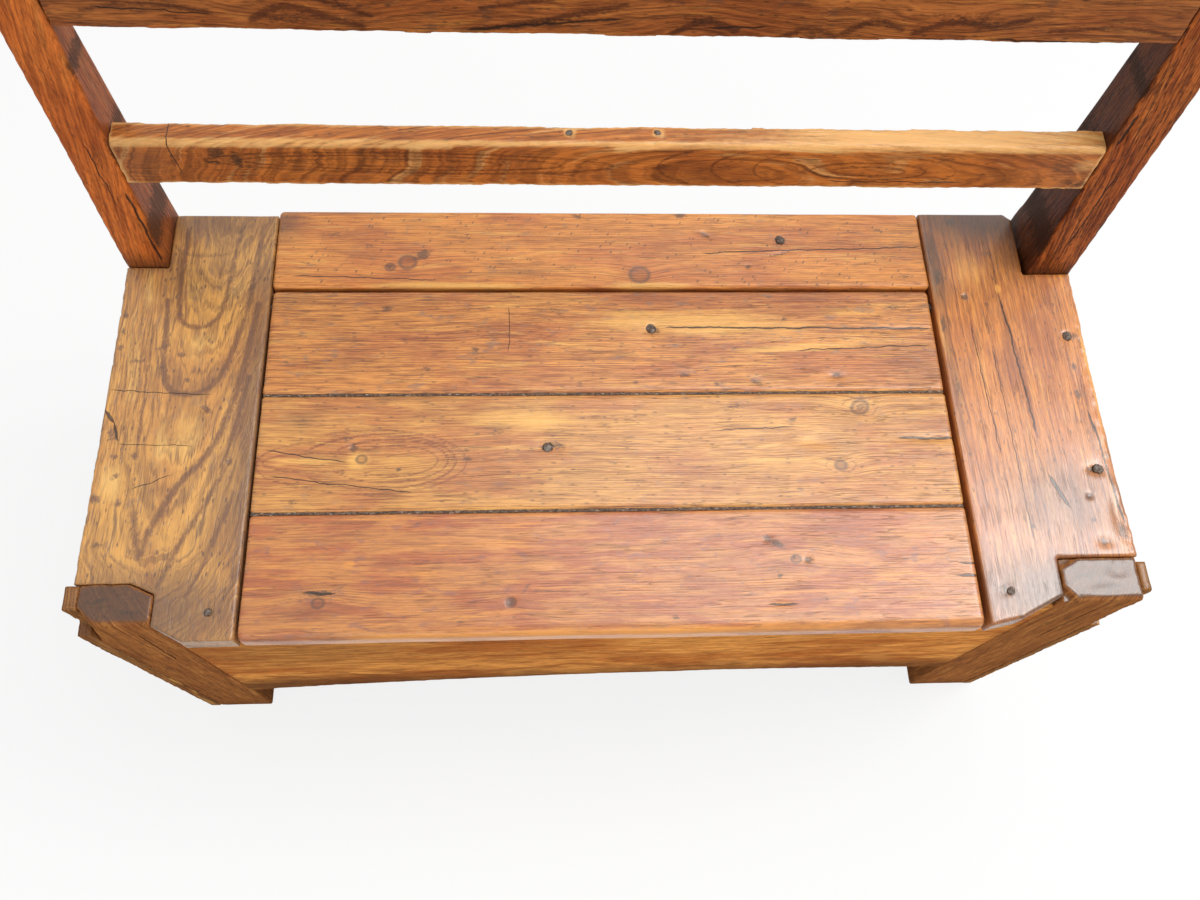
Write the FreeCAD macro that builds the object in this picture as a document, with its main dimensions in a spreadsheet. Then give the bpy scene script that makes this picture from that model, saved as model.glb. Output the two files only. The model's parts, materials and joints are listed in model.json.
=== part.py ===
import FreeCAD, Part
import math
import os
import re
import Sketcher

# Settle bench with a lifting seat over a storage box.
# Millimetres. X runs along the seat, +Y to the back, +Z up, origin on the floor under the middle.

doc = FreeCAD.newDocument("settle_bench")
sheet = doc.addObject("Spreadsheet::Sheet", "Sizes")

SIZES = {
    # whole bench
    "seat_width": 1000,
    "seat_depth": 461,
    "seat_height": 455,
    "back_height": 850,
    "board_thick": 26,
    # front legs; a set is a distance back from the front edge of the seat
    "left_leg_inset": 7,
    "left_leg_width": 66,
    "left_leg_depth": 38,
    "left_leg_set": 15,
    "right_leg_inset": 4,
    "right_leg_width": 76,
    "right_leg_depth": 42,
    "right_leg_set": 22,
    "leg_top_round": 7,
    "leg_corner_cut": 22,
    "leg_corner_run": 10,
    "chip_wide": 14,
    "chip_long": 16,
    "chip_deep": 8,
    "facet_wide": 20,
    "facet_long": 11,
    "facet_deep": 3,
    "foot_wear": 3,
    # cover strips nailed to the outer sides of the legs
    "strip_reach": 6,
    "strip_depth": 38,
    "left_strip_break_depth": 15,
    "left_strip_break_height": 40,
    "right_strip_break_depth": 9,
    "right_strip_break_height": 105,
    # back posts: raked front face, upright back face; a depth is taken at the seat
    "left_post_width": 41.5,
    "left_post_depth": 70,
    "left_post_rake": 7.3,
    "right_post_width": 47.5,
    "right_post_depth": 77,
    "right_post_rake": 6.1,
    "right_post_waist": 2.5,
    "waist_height": 30,
    "post_arris": 2,
    # back rails; a lift is a height above the seat, at the left end
    "rail_rise": 11,
    "rail_rake": 6.7,
    "mid_rail_lift": 117,
    "mid_rail_height": 51,
    "mid_rail_thick": 22,
    "mid_rail_round": 6,
    "top_rail_lift": 285,
    "top_rail_height": 90,
    "top_rail_thick": 18,
    "top_rail_round": 4,
    "rail_tenon_thick": 8,
    "rail_tenon_long": 26,
    "rail_tenon_shoulder": 7,
    # box: front, back and side boards; a foot is the height of a lower edge above the floor
    "front_board_thick": 22,
    "front_foot_left": 109,
    "front_foot_arch": 149,
    "front_foot_right": 127,
    "board_tenon_thick": 10,
    "board_tenon_long": 20,
    "board_tenon_shoulder": 28,
    "back_board_set": 25,
    "back_board_thick": 22,
    "back_board_foot": 118,
    "side_board_inset": 11,
    "side_board_thick": 18,
    "side_board_foot": 118,
    "tongue_thick": 8,
    "tongue_long": 10,
    # seat boards
    "left_end_width": 148.6,
    "right_end_width": 157.3,
    "left_end_short": 6,
    "end_corner_left": 28,
    "end_corner_right": 43,
    "end_corner_drop": 7,
    "end_corner_step": 6,
    "end_tail_cut": 8,
    "left_end_hollow": 1.5,
    "right_end_hollow": 2.5,
    "post_notch_gap": 0.6,
    "right_post_notch_gap": 4.5,
    "leg_notch_gap": 0.6,
    "rear_plank_depth": 95,
    "plank_end_gap": 0.6,
    "arris_round": 4,
    "nose_round": 9,
    "end_arris": 3,
    # lifting part of the seat; its joints are measured from its nearer edge
    "lid_gap_rear": 4.4,
    "lid_gap_left": 2.2,
    "lid_gap_right": 4.5,
    "lid_joint_rear": 118.9,
    "lid_joint_front": 119.2,
    "lid_joint_gap": 1.4,
    "cleat_thick": 20,
    "cleat_width": 60,
    "cleat_inset": 60,
    "centre_cleat_width": 150,
    "centre_cleat_shift": -10,
    "cleat_front_gap": 8,
    "cleat_rear_gap": 14,
    "cleat_bevel": 5,
    # pin hinge
    "pin_radius": 4,
    "pin_in_board": 35,
    "pin_in_lid": 40,
    "pin_running": 0.06,
    "pin_drive": 0.02,
    "pin_end_gap": 1,
    "swing_clearance": 0.8,
    # bearers under the seat and the floor of the box, its joints measured from the nearer edge of the seat
    "bearer_width": 55,
    "bearer_lap": 21.4,
    "bearer_deep": 28,
    "ledger_width": 20,
    "ledger_deep": 28,
    "floor_level": 168,
    "floor_thick": 16,
    "floor_gap": 1,
    "floor_joint_front": 166,
    "floor_joint_rear": 170,
    "batten_width": 60,
    "batten_deep": 18,
    "batten_short": 12,
    # wrought nails with square tapered shanks and four-faced heads
    "shank": 4.5,
    "nail_tip": 1.2,
    "head_width": 12,
    "head_crown": 4,
    "head_high": 2.2,
    "small_head_width": 7,
    "seat_nail_long": 58,
    "lid_nail_long": 43,
    "cleat_nail_long": 38,
    "strip_nail_long": 34,
    "rail_nail_long": 30,
    "floor_nail_long": 34,
    # where the nails are driven
    "rear_nail_x": 185,
    "left_end_nail_in": 25,
    "right_end_nail_in": 25,
    "side_nail_front": 156,
    "side_nail_rear": 306,
    "lid_nail_middle": 65.3,
    "lid_nail_rear": 45.6,
    "centre_nail_left": 22,
    "centre_nail_right": 20,
    "nail_edge": 22,
    "strip_top_nail": 18,
    "strip_foot_nail": 60,
    "rail_nail_left": -47,
    "rail_nail_right": 34,
    "nail_end_cover": 2,
    # how far a cutting shape runs past what it cuts
    "overcut": 1,
}

for row, (alias, value) in enumerate(SIZES.items(), start=1):
    sheet.set("A%d" % row, alias.replace("_", " "))
    sheet.set("B%d" % row, str(value))
    sheet.setAlias("B%d" % row, alias)
doc.recompute()

# Places that several pieces share, worked out from the driving sizes.
PLACES = {
    "left_edge": "-seat_width / 2",
    "right_edge": "seat_width / 2",
    "front_edge": "-seat_depth / 2",
    "rear_edge": "seat_depth / 2",
    "under_seat": "seat_height - board_thick",
    # legs
    "left_leg_outer": "left_edge + left_leg_inset",
    "left_leg_inner": "left_leg_outer + left_leg_width",
    "left_leg_front": "front_edge + left_leg_set",
    "left_leg_rear": "left_leg_front + left_leg_depth",
    "right_leg_outer": "right_edge - right_leg_inset",
    "right_leg_inner": "right_leg_outer - right_leg_width",
    "right_leg_front": "front_edge + right_leg_set",
    "right_leg_rear": "right_leg_front + right_leg_depth",
    # posts
    "left_post_inner": "left_edge + left_post_width",
    "left_post_front": "rear_edge - left_post_depth",
    "right_post_inner": "right_edge - right_post_width",
    "right_post_front": "rear_edge - right_post_depth",
    # box
    "back_board_front": "rear_edge - back_board_set - back_board_thick",
    "left_side_outer": "left_edge + side_board_inset",
    "left_side_inner": "left_side_outer + side_board_thick",
    "right_side_outer": "right_edge - side_board_inset",
    "right_side_inner": "right_side_outer - side_board_thick",
    # seat
    "left_seam": "left_edge + left_end_width",
    "right_seam": "right_edge - right_end_width",
    "rear_plank_front": "rear_edge - rear_plank_depth",
    "lid_left": "left_seam + lid_gap_left",
    "lid_right": "right_seam - lid_gap_right",
    "lid_rear": "rear_plank_front - lid_gap_rear",
    "front_joint": "front_edge + lid_joint_front",
    "rear_joint": "lid_rear - lid_joint_rear",
    "pivot_y": "lid_rear - board_thick / 2",
    "pivot_z": "seat_height - board_thick / 2",
    # inside the box
    "ledger_under": "floor_level - ledger_deep",
    "front_floor_joint": "front_edge + floor_joint_front",
    "rear_floor_joint": "rear_edge - floor_joint_rear",
    "cleat_under": "under_seat - cleat_thick",
    "cleat_front": "front_edge + right_leg_set + front_board_thick + cleat_front_gap",
    "cleat_rear": "pivot_y - cleat_rear_gap",
    "centre_cleat_left": "(lid_left + lid_right) / 2 + centre_cleat_shift - centre_cleat_width / 2",
}


def bound(text):
    """Writes an expression on the sheet's cells from plain words."""

    def word(match):
        name = match.group(0)
        if name in PLACES:
            return "(" + bound(PLACES[name]) + ")"
        return "Sizes." + name if name in SIZES else name

    return re.sub(r"[a-z]+(_[a-z]+)*", word, text)


def size(alias):
    return float(sheet.get(alias))


def raked(side, height):
    """Front face of a back post at a height above the seat."""
    return "{0}_post_front + tan({0}_post_rake * 1 deg) * ({1})".format(side, height)


def box(name, low, high):
    """A box between two corners, each corner three expressions."""
    made = doc.addObject("Part::Box", name)
    for prop, a, b in zip(("Length", "Width", "Height"), low, high):
        made.setExpression(prop, "({}) - ({})".format(bound(b), bound(a)))
    for axis, a in zip("xyz", low):
        made.setExpression("Placement.Base." + axis, bound(a))
    return made


def outline(sketch, corners):
    """Closes straight lines through the corners and binds each corner to the sheet."""
    count = len(corners)
    start = [FreeCAD.Vector(10 * i, (7 * i * i) % 11, 0) for i in range(count)]
    for i in range(count):
        sketch.addGeometry(Part.LineSegment(start[i], start[(i + 1) % count]), False)
    for i in range(count):
        sketch.addConstraint(Sketcher.Constraint("Coincident", i, 2, (i + 1) % count, 1))
    for i, corner in enumerate(corners):
        for kind, where, value in zip(("DistanceX", "DistanceY"), start[i], corner):
            number = sketch.addConstraint(Sketcher.Constraint(kind, -1, 1, i, 1, where + 0.01))
            sketch.setExpression("Constraints[%d]" % number, bound(value))
    return sketch


def section(name, x, corners):
    """A loose sketch across the bench at x, its corners given as (y, z)."""
    sketch = doc.addObject("Sketcher::SketchObject", name)
    along_y, along_z, along_x = FreeCAD.Vector(0, 1, 0), FreeCAD.Vector(0, 0, 1), FreeCAD.Vector(1, 0, 0)
    sketch.Placement = FreeCAD.Placement(FreeCAD.Vector(), FreeCAD.Rotation(along_y, along_z, along_x, "ZXY"))
    sketch.setExpression("Placement.Base.x", bound(x))
    return outline(sketch, corners)


def lofted(name, left, right):
    """A straight-sided piece between two sections, each (x, corners)."""
    made = doc.addObject("Part::Loft", name)
    made.Sections = [section(name + "_left_section", *left), section(name + "_right_section", *right)]
    made.Solid = True
    made.Ruled = True
    return made


def padded(name, plane, offset, corners, length):
    """A body with one outline padded upwards (XY) or to the right (YZ)."""
    body = doc.addObject("PartDesign::Body", name)
    flat = next(f for f in body.Origin.OriginFeatures if f.Role == plane + "_Plane")
    sketch = body.newObject("Sketcher::SketchObject", name + "_outline")
    sketch.AttachmentSupport = (flat, [""])
    sketch.MapMode = "FlatFace"
    sketch.setExpression("AttachmentOffset.Base.z", bound(offset))
    outline(sketch, corners)
    pad = body.newObject("PartDesign::Pad", name + "_pad")
    pad.Profile = sketch
    pad.setExpression("Length", bound(length))
    doc.recompute()
    return body


def body_round(body, alias, test):
    """Rounds the edges of a body's tip that pass a test."""
    base = body.Tip
    chosen = ["Edge%d" % n for n, e in enumerate(base.Shape.Edges, 1) if test(e, base.Shape.BoundBox)]
    fillet = body.newObject("PartDesign::Fillet", base.Name + "_" + alias)
    fillet.Base = (base, chosen)
    fillet.setExpression("Radius", bound(alias))
    doc.recompute()
    return body


def edge_round(name, base, alias, test):
    """Rounds the edges of a plain piece that pass a test."""
    doc.recompute()
    radius = size(alias)
    made = doc.addObject("Part::Fillet", name)
    made.Base = base
    numbered = enumerate(base.Shape.Edges, 1)
    made.Edges = [(n, radius, radius) for n, e in numbered if test(e, base.Shape.BoundBox)]
    return made


def cut(name, base, *tools):
    """The base with every tool taken out of it, one after the other."""
    for number, tool in enumerate(tools, 1):
        made = doc.addObject("Part::Cut", name if number == len(tools) else "%s_cut_%d" % (name, number))
        made.Base = base
        made.Tool = tool
        base = made
    return base


def fused(name, *pieces):
    made = doc.addObject("Part::MultiFuse", name)
    made.Shapes = list(pieces)
    made.Refine = True
    return made


def group(name, pieces):
    made = doc.addObject("Part::Compound", name)
    made.Links = list(pieces)
    return made


NODES = []


def node(label, made):
    """Names the finished shape of one sub-part."""
    made.Label = label
    NODES.append(made)
    return made


# Edge tests, each given an edge and the box of its shape.

def upright(edge, around):
    a, b = edge.Vertexes[0].Point, edge.Vertexes[-1].Point
    return abs(a.x - b.x) < 0.01 and abs(a.y - b.y) < 0.01 and abs(a.z - b.z) > 0.01


def at_top(edge, around):
    return all(abs(v.Z - around.ZMax) < 0.01 for v in edge.Vertexes)


def at_bottom(edge, around):
    return all(abs(v.Z - around.ZMin) < 0.01 for v in edge.Vertexes)


def at_front(edge, around):
    return all(abs(v.Y - around.YMin) < 0.01 for v in edge.Vertexes)


def top_front(edge, around):
    return at_top(edge, around) and at_front(edge, around)


def across(edge, around):
    a, b = edge.Vertexes[0].Point, edge.Vertexes[-1].Point
    return abs(a.x - b.x) > 0.9 * around.XLength


def side_arris(edge, around):
    """An edge along a post's front or back, on either of its sides."""
    a, b = edge.Vertexes[0].Point, edge.Vertexes[-1].Point
    return abs(a.x - b.x) < 0.01 and abs(a.z - b.z) > 0.01


def straight(edge, around):
    return edge.Curve.TypeId == "Part::GeomLine"


def hand_worn(edge, around):
    """The front upper arris of a raked rail, polished round by hands and backs."""
    middle_y, middle_z = (sum(p[axis] for p in (v.Point for v in edge.Vertexes)) / 2 for axis in (1, 2))
    rise = middle_z - around.Center.z
    lean = rise * math.tan(math.radians(size("rail_rake")))
    return across(edge, around) and rise > 0 and middle_y < around.Center.y + lean


# Nails

NAIL_TURNS = {
    "down": FreeCAD.Rotation(FreeCAD.Vector(1, 0, 0), -90),
    "up": FreeCAD.Rotation(FreeCAD.Vector(1, 0, 0), 90),
    "right": FreeCAD.Rotation(FreeCAD.Vector(0, 0, 1), -90),
    "left": FreeCAD.Rotation(FreeCAD.Vector(0, 0, 1), 90),
}


def taper(name, start, start_width, end, end_width, turn, place):
    """A square taper along the nail, from a width at its start to a width at its end."""
    made = doc.addObject("Part::Wedge", name)
    bounds = {"Ymin": start, "Ymax": end}
    for axis in "XZ":
        bounds[axis + "min"] = "-({}) / 2".format(start_width)
        bounds[axis + "max"] = "({}) / 2".format(start_width)
        bounds[axis + "2min"] = "-({}) / 2".format(end_width)
        bounds[axis + "2max"] = "({}) / 2".format(end_width)
    for prop, value in bounds.items():
        made.setExpression(prop, bound(value))
    made.Placement = FreeCAD.Placement(FreeCAD.Vector(), NAIL_TURNS[turn])
    for axis, value in zip("xyz", place):
        made.setExpression("Placement.Base." + axis, bound(value))
    return made


def nail(name, turn, place, length, head="head_width"):
    shank = taper(name + "_shank", "0", "shank", length, "nail_tip", turn, place)
    crown = taper(name + "_head", "-head_high", "head_crown", "0", head, turn, place)
    return fused(name, shank, crown)


def nails(label, turn, places, length, head="head_width"):
    """A group of like nails, all driven the same way."""
    return [nail("%s_%d" % (label, n), turn, p, length, head) for n, p in enumerate(places, 1)]


# Box: boards joined to legs and posts

def slab(name, inset, left_reach, right_reach, low, high):
    """Part of the front board's thickness, which follows both leg fronts."""
    def corners(side):
        face = side + "_leg_front"
        y_front = "{} + {}".format(face, inset)
        y_rear = "{} + front_board_thick - {}".format(face, inset)
        return [(y_front, low), (y_rear, low), (y_rear, high), (y_front, high)]
    return lofted(name, ("left_leg_inner - " + left_reach, corners("left")),
                  ("right_leg_inner + " + right_reach, corners("right")))


def make_front_board():
    panel = slab("front_panel", "0", "0", "0", "0", "under_seat")
    tenon_inset = "(front_board_thick - board_tenon_thick) / 2"
    tenons = slab("front_tenons", tenon_inset, "board_tenon_long", "board_tenon_long",
                  "front_foot_right + board_tenon_shoulder", "under_seat - board_tenon_shoulder")
    arch = doc.addObject("Sketcher::SketchObject", "front_arch")
    upward = FreeCAD.Rotation(FreeCAD.Vector(1, 0, 0), 90)
    arch.Placement = FreeCAD.Placement(FreeCAD.Vector(), upward)
    # The space under the arched lower edge: a line below the floor, two sides and one arc.
    reach, under = size("seat_width") / 2, -size("overcut")
    low_left, low_right = FreeCAD.Vector(-reach, under, 0), FreeCAD.Vector(reach, under, 0)
    left, right = (FreeCAD.Vector(x, size("front_foot_left"), 0) for x in (-reach, reach))
    middle = FreeCAD.Vector(0, size("front_foot_arch"), 0)
    arch.addGeometry(Part.LineSegment(low_left, low_right), False)
    arch.addGeometry(Part.LineSegment(low_right, right), False)
    arch.addGeometry(Part.Arc(right, middle, left), False)
    arch.addGeometry(Part.LineSegment(left, low_left), False)
    arch.addConstraint(Sketcher.Constraint("Coincident", 0, 2, 1, 1))
    arch.addConstraint(Sketcher.Constraint("Coincident", 1, 2, 2, 1))
    arch.addConstraint(Sketcher.Constraint("Coincident", 2, 2, 3, 1))
    arch.addConstraint(Sketcher.Constraint("Coincident", 3, 2, 0, 1))
    crown = arch.addGeometry(Part.Point(middle), True)
    arch.addConstraint(Sketcher.Constraint("PointOnObject", crown, 1, 2))
    places = [
        (0, 1, "left_leg_inner - overcut", "-overcut"),
        (0, 2, "right_leg_inner + overcut", "-overcut"),
        (1, 2, "right_leg_inner + overcut", "front_foot_right"),
        (2, 2, "left_leg_inner - overcut", "front_foot_left"),
        (crown, 1, "0", "front_foot_arch"),
    ]
    for geometry, point, x, z in places:
        at = arch.getPoint(geometry, point)
        for kind, value, now in (("DistanceX", x, at.x), ("DistanceY", z, at.y)):
            number = arch.addConstraint(Sketcher.Constraint(kind, -1, 1, geometry, point, now))
            arch.setExpression("Constraints[%d]" % number, bound(value))
    hollow = doc.addObject("Part::Extrusion", "front_arch_space")
    hollow.Base = arch
    hollow.DirMode = "Custom"
    hollow.Dir = FreeCAD.Vector(0, -1, 0)
    hollow.setExpression("LengthFwd", bound("seat_depth"))
    hollow.Solid = True
    arched = cut("front_panel_arched", panel, hollow)
    return fused("front_board_blank", arched, tenons)


def make_back_board():
    rear = "back_board_front + back_board_thick"
    inset = "(back_board_thick - board_tenon_thick) / 2"
    panel = box("back_panel", ("left_post_inner", "back_board_front", "back_board_foot"),
                ("right_post_inner", rear, "under_seat"))
    tenons = box("back_tenons",
                 ("left_post_inner - board_tenon_long", "back_board_front + " + inset,
                  "back_board_foot + board_tenon_shoulder"),
                 ("right_post_inner + board_tenon_long", rear + " - " + inset,
                  "under_seat - board_tenon_shoulder"))
    return fused("back_board_blank", panel, tenons)


def make_side_board(side):
    outer, inner = side + "_side_outer", side + "_side_inner"
    low_x, high_x = (outer, inner) if side == "left" else (inner, outer)
    tongue_inset = "(side_board_thick - tongue_thick) / 2"
    panel = box(side + "_side_panel", (low_x, side + "_leg_rear", "side_board_foot"),
                (high_x, side + "_post_front", "under_seat"))
    tongues = box(side + "_side_tongues",
                  (low_x + " + " + tongue_inset, side + "_leg_rear - tongue_long", "side_board_foot"),
                  (high_x + " - " + tongue_inset, side + "_post_front + tongue_long",
                   "under_seat - board_tenon_shoulder"))
    return fused(side + "_side_board_blank", panel, tongues)


front_board_blank = make_front_board()
back_board_blank = make_back_board()
side_boards = {side: make_side_board(side) for side in ("left", "right")}


# Back rails

def make_rail(name, lift, height, thick, round_alias):
    """A rail flush with the raked post fronts, rising to the right, with a tenon at each end."""
    def corners(side, shoulder, inset):
        rise = " + rail_rise" if side == "right" else ""
        middle = "({}{} + {} / 2)".format(lift, rise, height)
        half = "({} / 2 - {})".format(height, shoulder)
        front = "{} + {}".format(raked(side, middle), inset)
        rear = "{} + {} - {}".format(raked(side, middle), thick, inset)
        lean = "tan(rail_rake * 1 deg) * " + half
        low, high = "seat_height + {} - {}".format(middle, half), "seat_height + {} + {}".format(middle, half)
        return [(front + " - " + lean, low), (rear + " - " + lean, low),
                (rear + " + " + lean, high), (front + " + " + lean, high)]
    blank = lofted(name + "_blank", ("left_post_inner", corners("left", "0", "0")),
                   ("right_post_inner", corners("right", "0", "0")))
    worn = edge_round(name + "_worn", blank, round_alias, hand_worn)
    inset = "({} - rail_tenon_thick) / 2".format(thick)
    tenons = lofted(name + "_tenons",
                    ("left_post_inner - rail_tenon_long", corners("left", "rail_tenon_shoulder", inset)),
                    ("right_post_inner + rail_tenon_long", corners("right", "rail_tenon_shoulder", inset)))
    return fused(name + "_joined", worn, tenons)


mid_rail_blank = make_rail("mid_rail", "mid_rail_lift", "mid_rail_height", "mid_rail_thick", "mid_rail_round")
top_rail = node("top_rail", make_rail("top_rail", "top_rail_lift", "top_rail_height", "top_rail_thick",
                                      "top_rail_round"))


# Posts and legs

def make_post(side):
    """A post sawn from one plank: upright behind, raked in front above the seat."""
    rise = "back_height - seat_height"
    waist = "right_post_waist" if side == "right" else "0"
    corners = [
        (side + "_post_front", "0"),
        ("rear_edge", "0"),
        ("rear_edge", "seat_height"),
        ("rear_edge - " + waist, "seat_height + waist_height"),
        ("rear_edge - " + waist, "back_height"),
        (raked(side, rise), "back_height"),
        (side + "_post_front", "seat_height"),
    ]
    if side == "left":
        del corners[2:4]
    start = "left_edge" if side == "left" else "right_post_inner"
    body = padded(side + "_post_body", "YZ", start, corners, side + "_post_width")
    body_round(body, "post_arris", side_arris)
    return cut(side + "_post_joined", body, back_board_blank, side_boards[side], mid_rail_blank, top_rail)


def make_leg(side):
    outer, inner = side + "_leg_outer", side + "_leg_inner"
    left_x, right_x = (outer, inner) if side == "left" else (inner, outer)
    front, rear = side + "_leg_front", side + "_leg_rear"
    body = padded(side + "_leg_body", "XY", "0",
                  [(left_x, front), (right_x, front), (right_x, rear), (left_x, rear)], "seat_height")
    body_round(body, "leg_top_round", top_front)
    body_round(body, "foot_wear", at_bottom)
    if side == "left":
        # The head of the left leg has its rear inner corner cut off, where the seat board comes past.
        corner = padded("left_leg_corner", "XY", "under_seat",
                        [(inner, rear + " - leg_corner_run"),
                         (inner + " + overcut", rear + " - leg_corner_run"),
                         (inner + " + overcut", rear + " + overcut"),
                         (inner + " - leg_corner_cut", rear + " + overcut"),
                         (inner + " - leg_corner_cut", rear)], "board_thick + overcut")
        body = cut("left_leg_cornered", body, corner)
    else:
        # The right one has lost a chip at the front inner corner and is worn down at the rear one.
        beyond = inner + " - overcut"
        chip = padded("right_leg_chip", "XY", "seat_height - chip_deep",
                      [(beyond, front + " - overcut"), (inner + " + chip_wide", front + " - overcut"),
                       (beyond, front + " + chip_long")], "chip_deep + overcut")
        facet = padded("right_leg_facet", "XY", "seat_height - facet_deep",
                       [(beyond, rear + " + overcut"), (beyond, rear + " - facet_long"),
                        (inner + " + facet_wide", rear + " + overcut")], "facet_deep + overcut")
        body = cut("right_leg_worn", body, chip, facet)
    return cut(side + "_leg_joined", body, front_board_blank, side_boards[side])


def make_strip(side):
    outer = side + "_edge - strip_reach" if side == "left" else side + "_edge + strip_reach"
    inner = side + "_leg_outer"
    left_x, right_x = (outer, inner) if side == "left" else (inner, outer)
    front = side + "_leg_front"
    blank = box(side + "_strip_blank", (left_x, front, "0"),
                (right_x, front + " + strip_depth", "seat_height"))
    # The upper front corner of each strip is broken away, on the right a long way down.
    gone = box(side + "_strip_gone",
               (left_x + " - overcut", front + " - overcut", "seat_height - " + side + "_strip_break_height"),
               (right_x + " + overcut", front + " + " + side + "_strip_break_depth", "seat_height + overcut"))
    broken = cut(side + "_strip_broken", blank, gone)
    return edge_round(side + "_strip_worn", broken, "end_arris",
                      lambda e, b: at_top(e, b) and not upright(e, b))


def strip_nail_places(side):
    x = side + "_edge - strip_reach" if side == "left" else side + "_edge + strip_reach"
    y = side + "_leg_front + strip_depth / 2"
    heights = ("seat_height - " + side + "_strip_break_height - strip_top_nail", "seat_height / 2",
               "strip_foot_nail")
    return [(x, y, z) for z in heights]


left_strip_nails = nails("left_strip_nail", "right", strip_nail_places("left"), "strip_nail_long",
                         "small_head_width")
right_strip_nails = nails("right_strip_nail", "left", strip_nail_places("right"), "strip_nail_long",
                          "small_head_width")
strip_nails = node("strip_nails", group("strip_nail_group", left_strip_nails + right_strip_nails))


# Seat boards

def side_hollow(side):
    """A long shallow hollow worn in the outer edge of an end board, between its leg and its post."""
    leg, post, deep = side + "_leg_rear", side + "_post_front", side + "_end_hollow"
    radius = "(({0} - ({1})) ^ 2 / 4 + {2} ^ 2) / (2 * {2})".format(post, leg, deep)
    inwards = "{0}_edge + {1} - ({2})" if side == "left" else "{0}_edge - {1} + {2}"
    made = doc.addObject("Part::Cylinder", side + "_end_worn")
    made.setExpression("Radius", bound(radius))
    made.setExpression("Height", bound("board_thick + 2 * overcut"))
    centre = (inwards.format(side, deep, radius), "({} + {}) / 2".format(leg, post), "under_seat - overcut")
    for axis, value in zip("xyz", centre):
        made.setExpression("Placement.Base." + axis, bound(value))
    return made


def end_board(side, corners):
    """An end board from its outline, hollowed at its side and with its upper arris worn off."""
    blank = padded(side + "_end_board_body", "XY", "under_seat", corners, "board_thick")
    shaped = cut(side + "_end_board_shaped", blank, side_hollow(side))
    return edge_round(side + "_end_board_worn", shaped, "end_arris", at_top)


def make_left_end_board():
    """Notched round the leg head in front and the post behind, with a rounded corner at the leg."""
    leg_side = "left_leg_inner + leg_notch_gap"
    leg_back = "left_leg_rear + leg_notch_gap"
    post_side = "left_post_inner + post_notch_gap"
    post_front = "left_post_front - post_notch_gap"
    corners = [
        ("left_seam", "front_edge"),
        ("left_seam", "rear_edge - left_end_short"),
        (post_side, "rear_edge - left_end_short"),
        (post_side, post_front),
        ("left_edge", post_front),
        ("left_edge", leg_back),
        (leg_side + " - leg_corner_cut", leg_back),
        (leg_side, leg_back + " - leg_corner_run"),
        (leg_side, "left_leg_front"),
        (leg_side + " + end_corner_left", "front_edge"),
    ]
    return end_board("left", corners)


def make_right_end_board():
    """Its front edge slopes back to the leg, and its tail is cut off beside the post."""
    leg_side = "right_leg_inner - leg_notch_gap"
    leg_back = "right_leg_rear + leg_notch_gap"
    post_side = "right_post_inner - right_post_notch_gap"
    post_front = "right_post_front - post_notch_gap"
    corners = [
        ("right_seam", "front_edge"),
        (leg_side + " - end_corner_right", "front_edge + end_corner_drop"),
        (leg_side, "right_leg_front + end_corner_step"),
        (leg_side, leg_back),
        ("right_edge", leg_back),
        ("right_edge", post_front),
        (post_side, post_front),
        (post_side, "rear_edge - end_tail_cut"),
        (post_side + " - end_tail_cut", "rear_edge"),
        ("right_seam", "rear_edge"),
    ]
    return end_board("right", corners)


def make_plank(name, left, right, front, rear, nosed=False):
    """A seat plank with every arris softened, and a rounder nose where it is the front one."""
    corners = [(front, "under_seat"), (rear, "under_seat"), (rear, "seat_height"), (front, "seat_height")]
    body = padded(name, "YZ", left, corners, "{} - ({})".format(right, left))
    if nosed:
        body_round(body, "nose_round", top_front)
    body_round(body, "arris_round", straight)
    return body


left_end_body = make_left_end_board()
right_end_body = make_right_end_board()
rear_plank_body = make_plank("rear_plank_body", "left_seam + plank_end_gap", "right_seam - plank_end_gap",
                             "rear_plank_front", "rear_edge")

LID_PLANKS = [
    ("lid_rear_plank", "rear_joint + lid_joint_gap / 2", "lid_rear"),
    ("lid_middle_plank", "front_joint + lid_joint_gap / 2", "rear_joint - lid_joint_gap / 2"),
    ("lid_front_plank", "front_edge", "front_joint - lid_joint_gap / 2"),
]
lid_bodies = {name: make_plank(name + "_body", "lid_left", "lid_right", front, rear,
                               nosed=name == "lid_front_plank")
              for name, front, rear in LID_PLANKS}


# Pin hinge

def pin(name, left, right, clearance="0"):
    made = doc.addObject("Part::Cylinder", name)
    made.setExpression("Radius", bound("pin_radius + " + clearance))
    made.setExpression("Height", "({}) - ({})".format(bound(right), bound(left)))
    made.Placement = FreeCAD.Placement(FreeCAD.Vector(), FreeCAD.Rotation(FreeCAD.Vector(0, 1, 0), 90))
    for axis, value in zip("xyz", (left, "pivot_y", "pivot_z")):
        made.setExpression("Placement.Base." + axis, bound(value))
    return made


node("left_pivot_pin", pin("left_pin", "left_seam - pin_in_board", "lid_left + pin_in_lid"))
node("right_pivot_pin", pin("right_pin", "lid_right - pin_in_lid", "right_seam + pin_in_board"))
left_board_bore = pin("left_board_bore", "left_seam - pin_in_board", "left_seam + overcut", "pin_drive")
right_board_bore = pin("right_board_bore", "right_seam - overcut", "right_seam + pin_in_board", "pin_drive")
left_lid_bore = pin("left_lid_bore", "lid_left - overcut", "lid_left + pin_in_lid + pin_end_gap",
                    "pin_running")
right_lid_bore = pin("right_lid_bore", "lid_right - pin_in_lid - pin_end_gap", "lid_right + overcut",
                     "pin_running")


# Nails in the seat, where the photograph shows their heads

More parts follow.
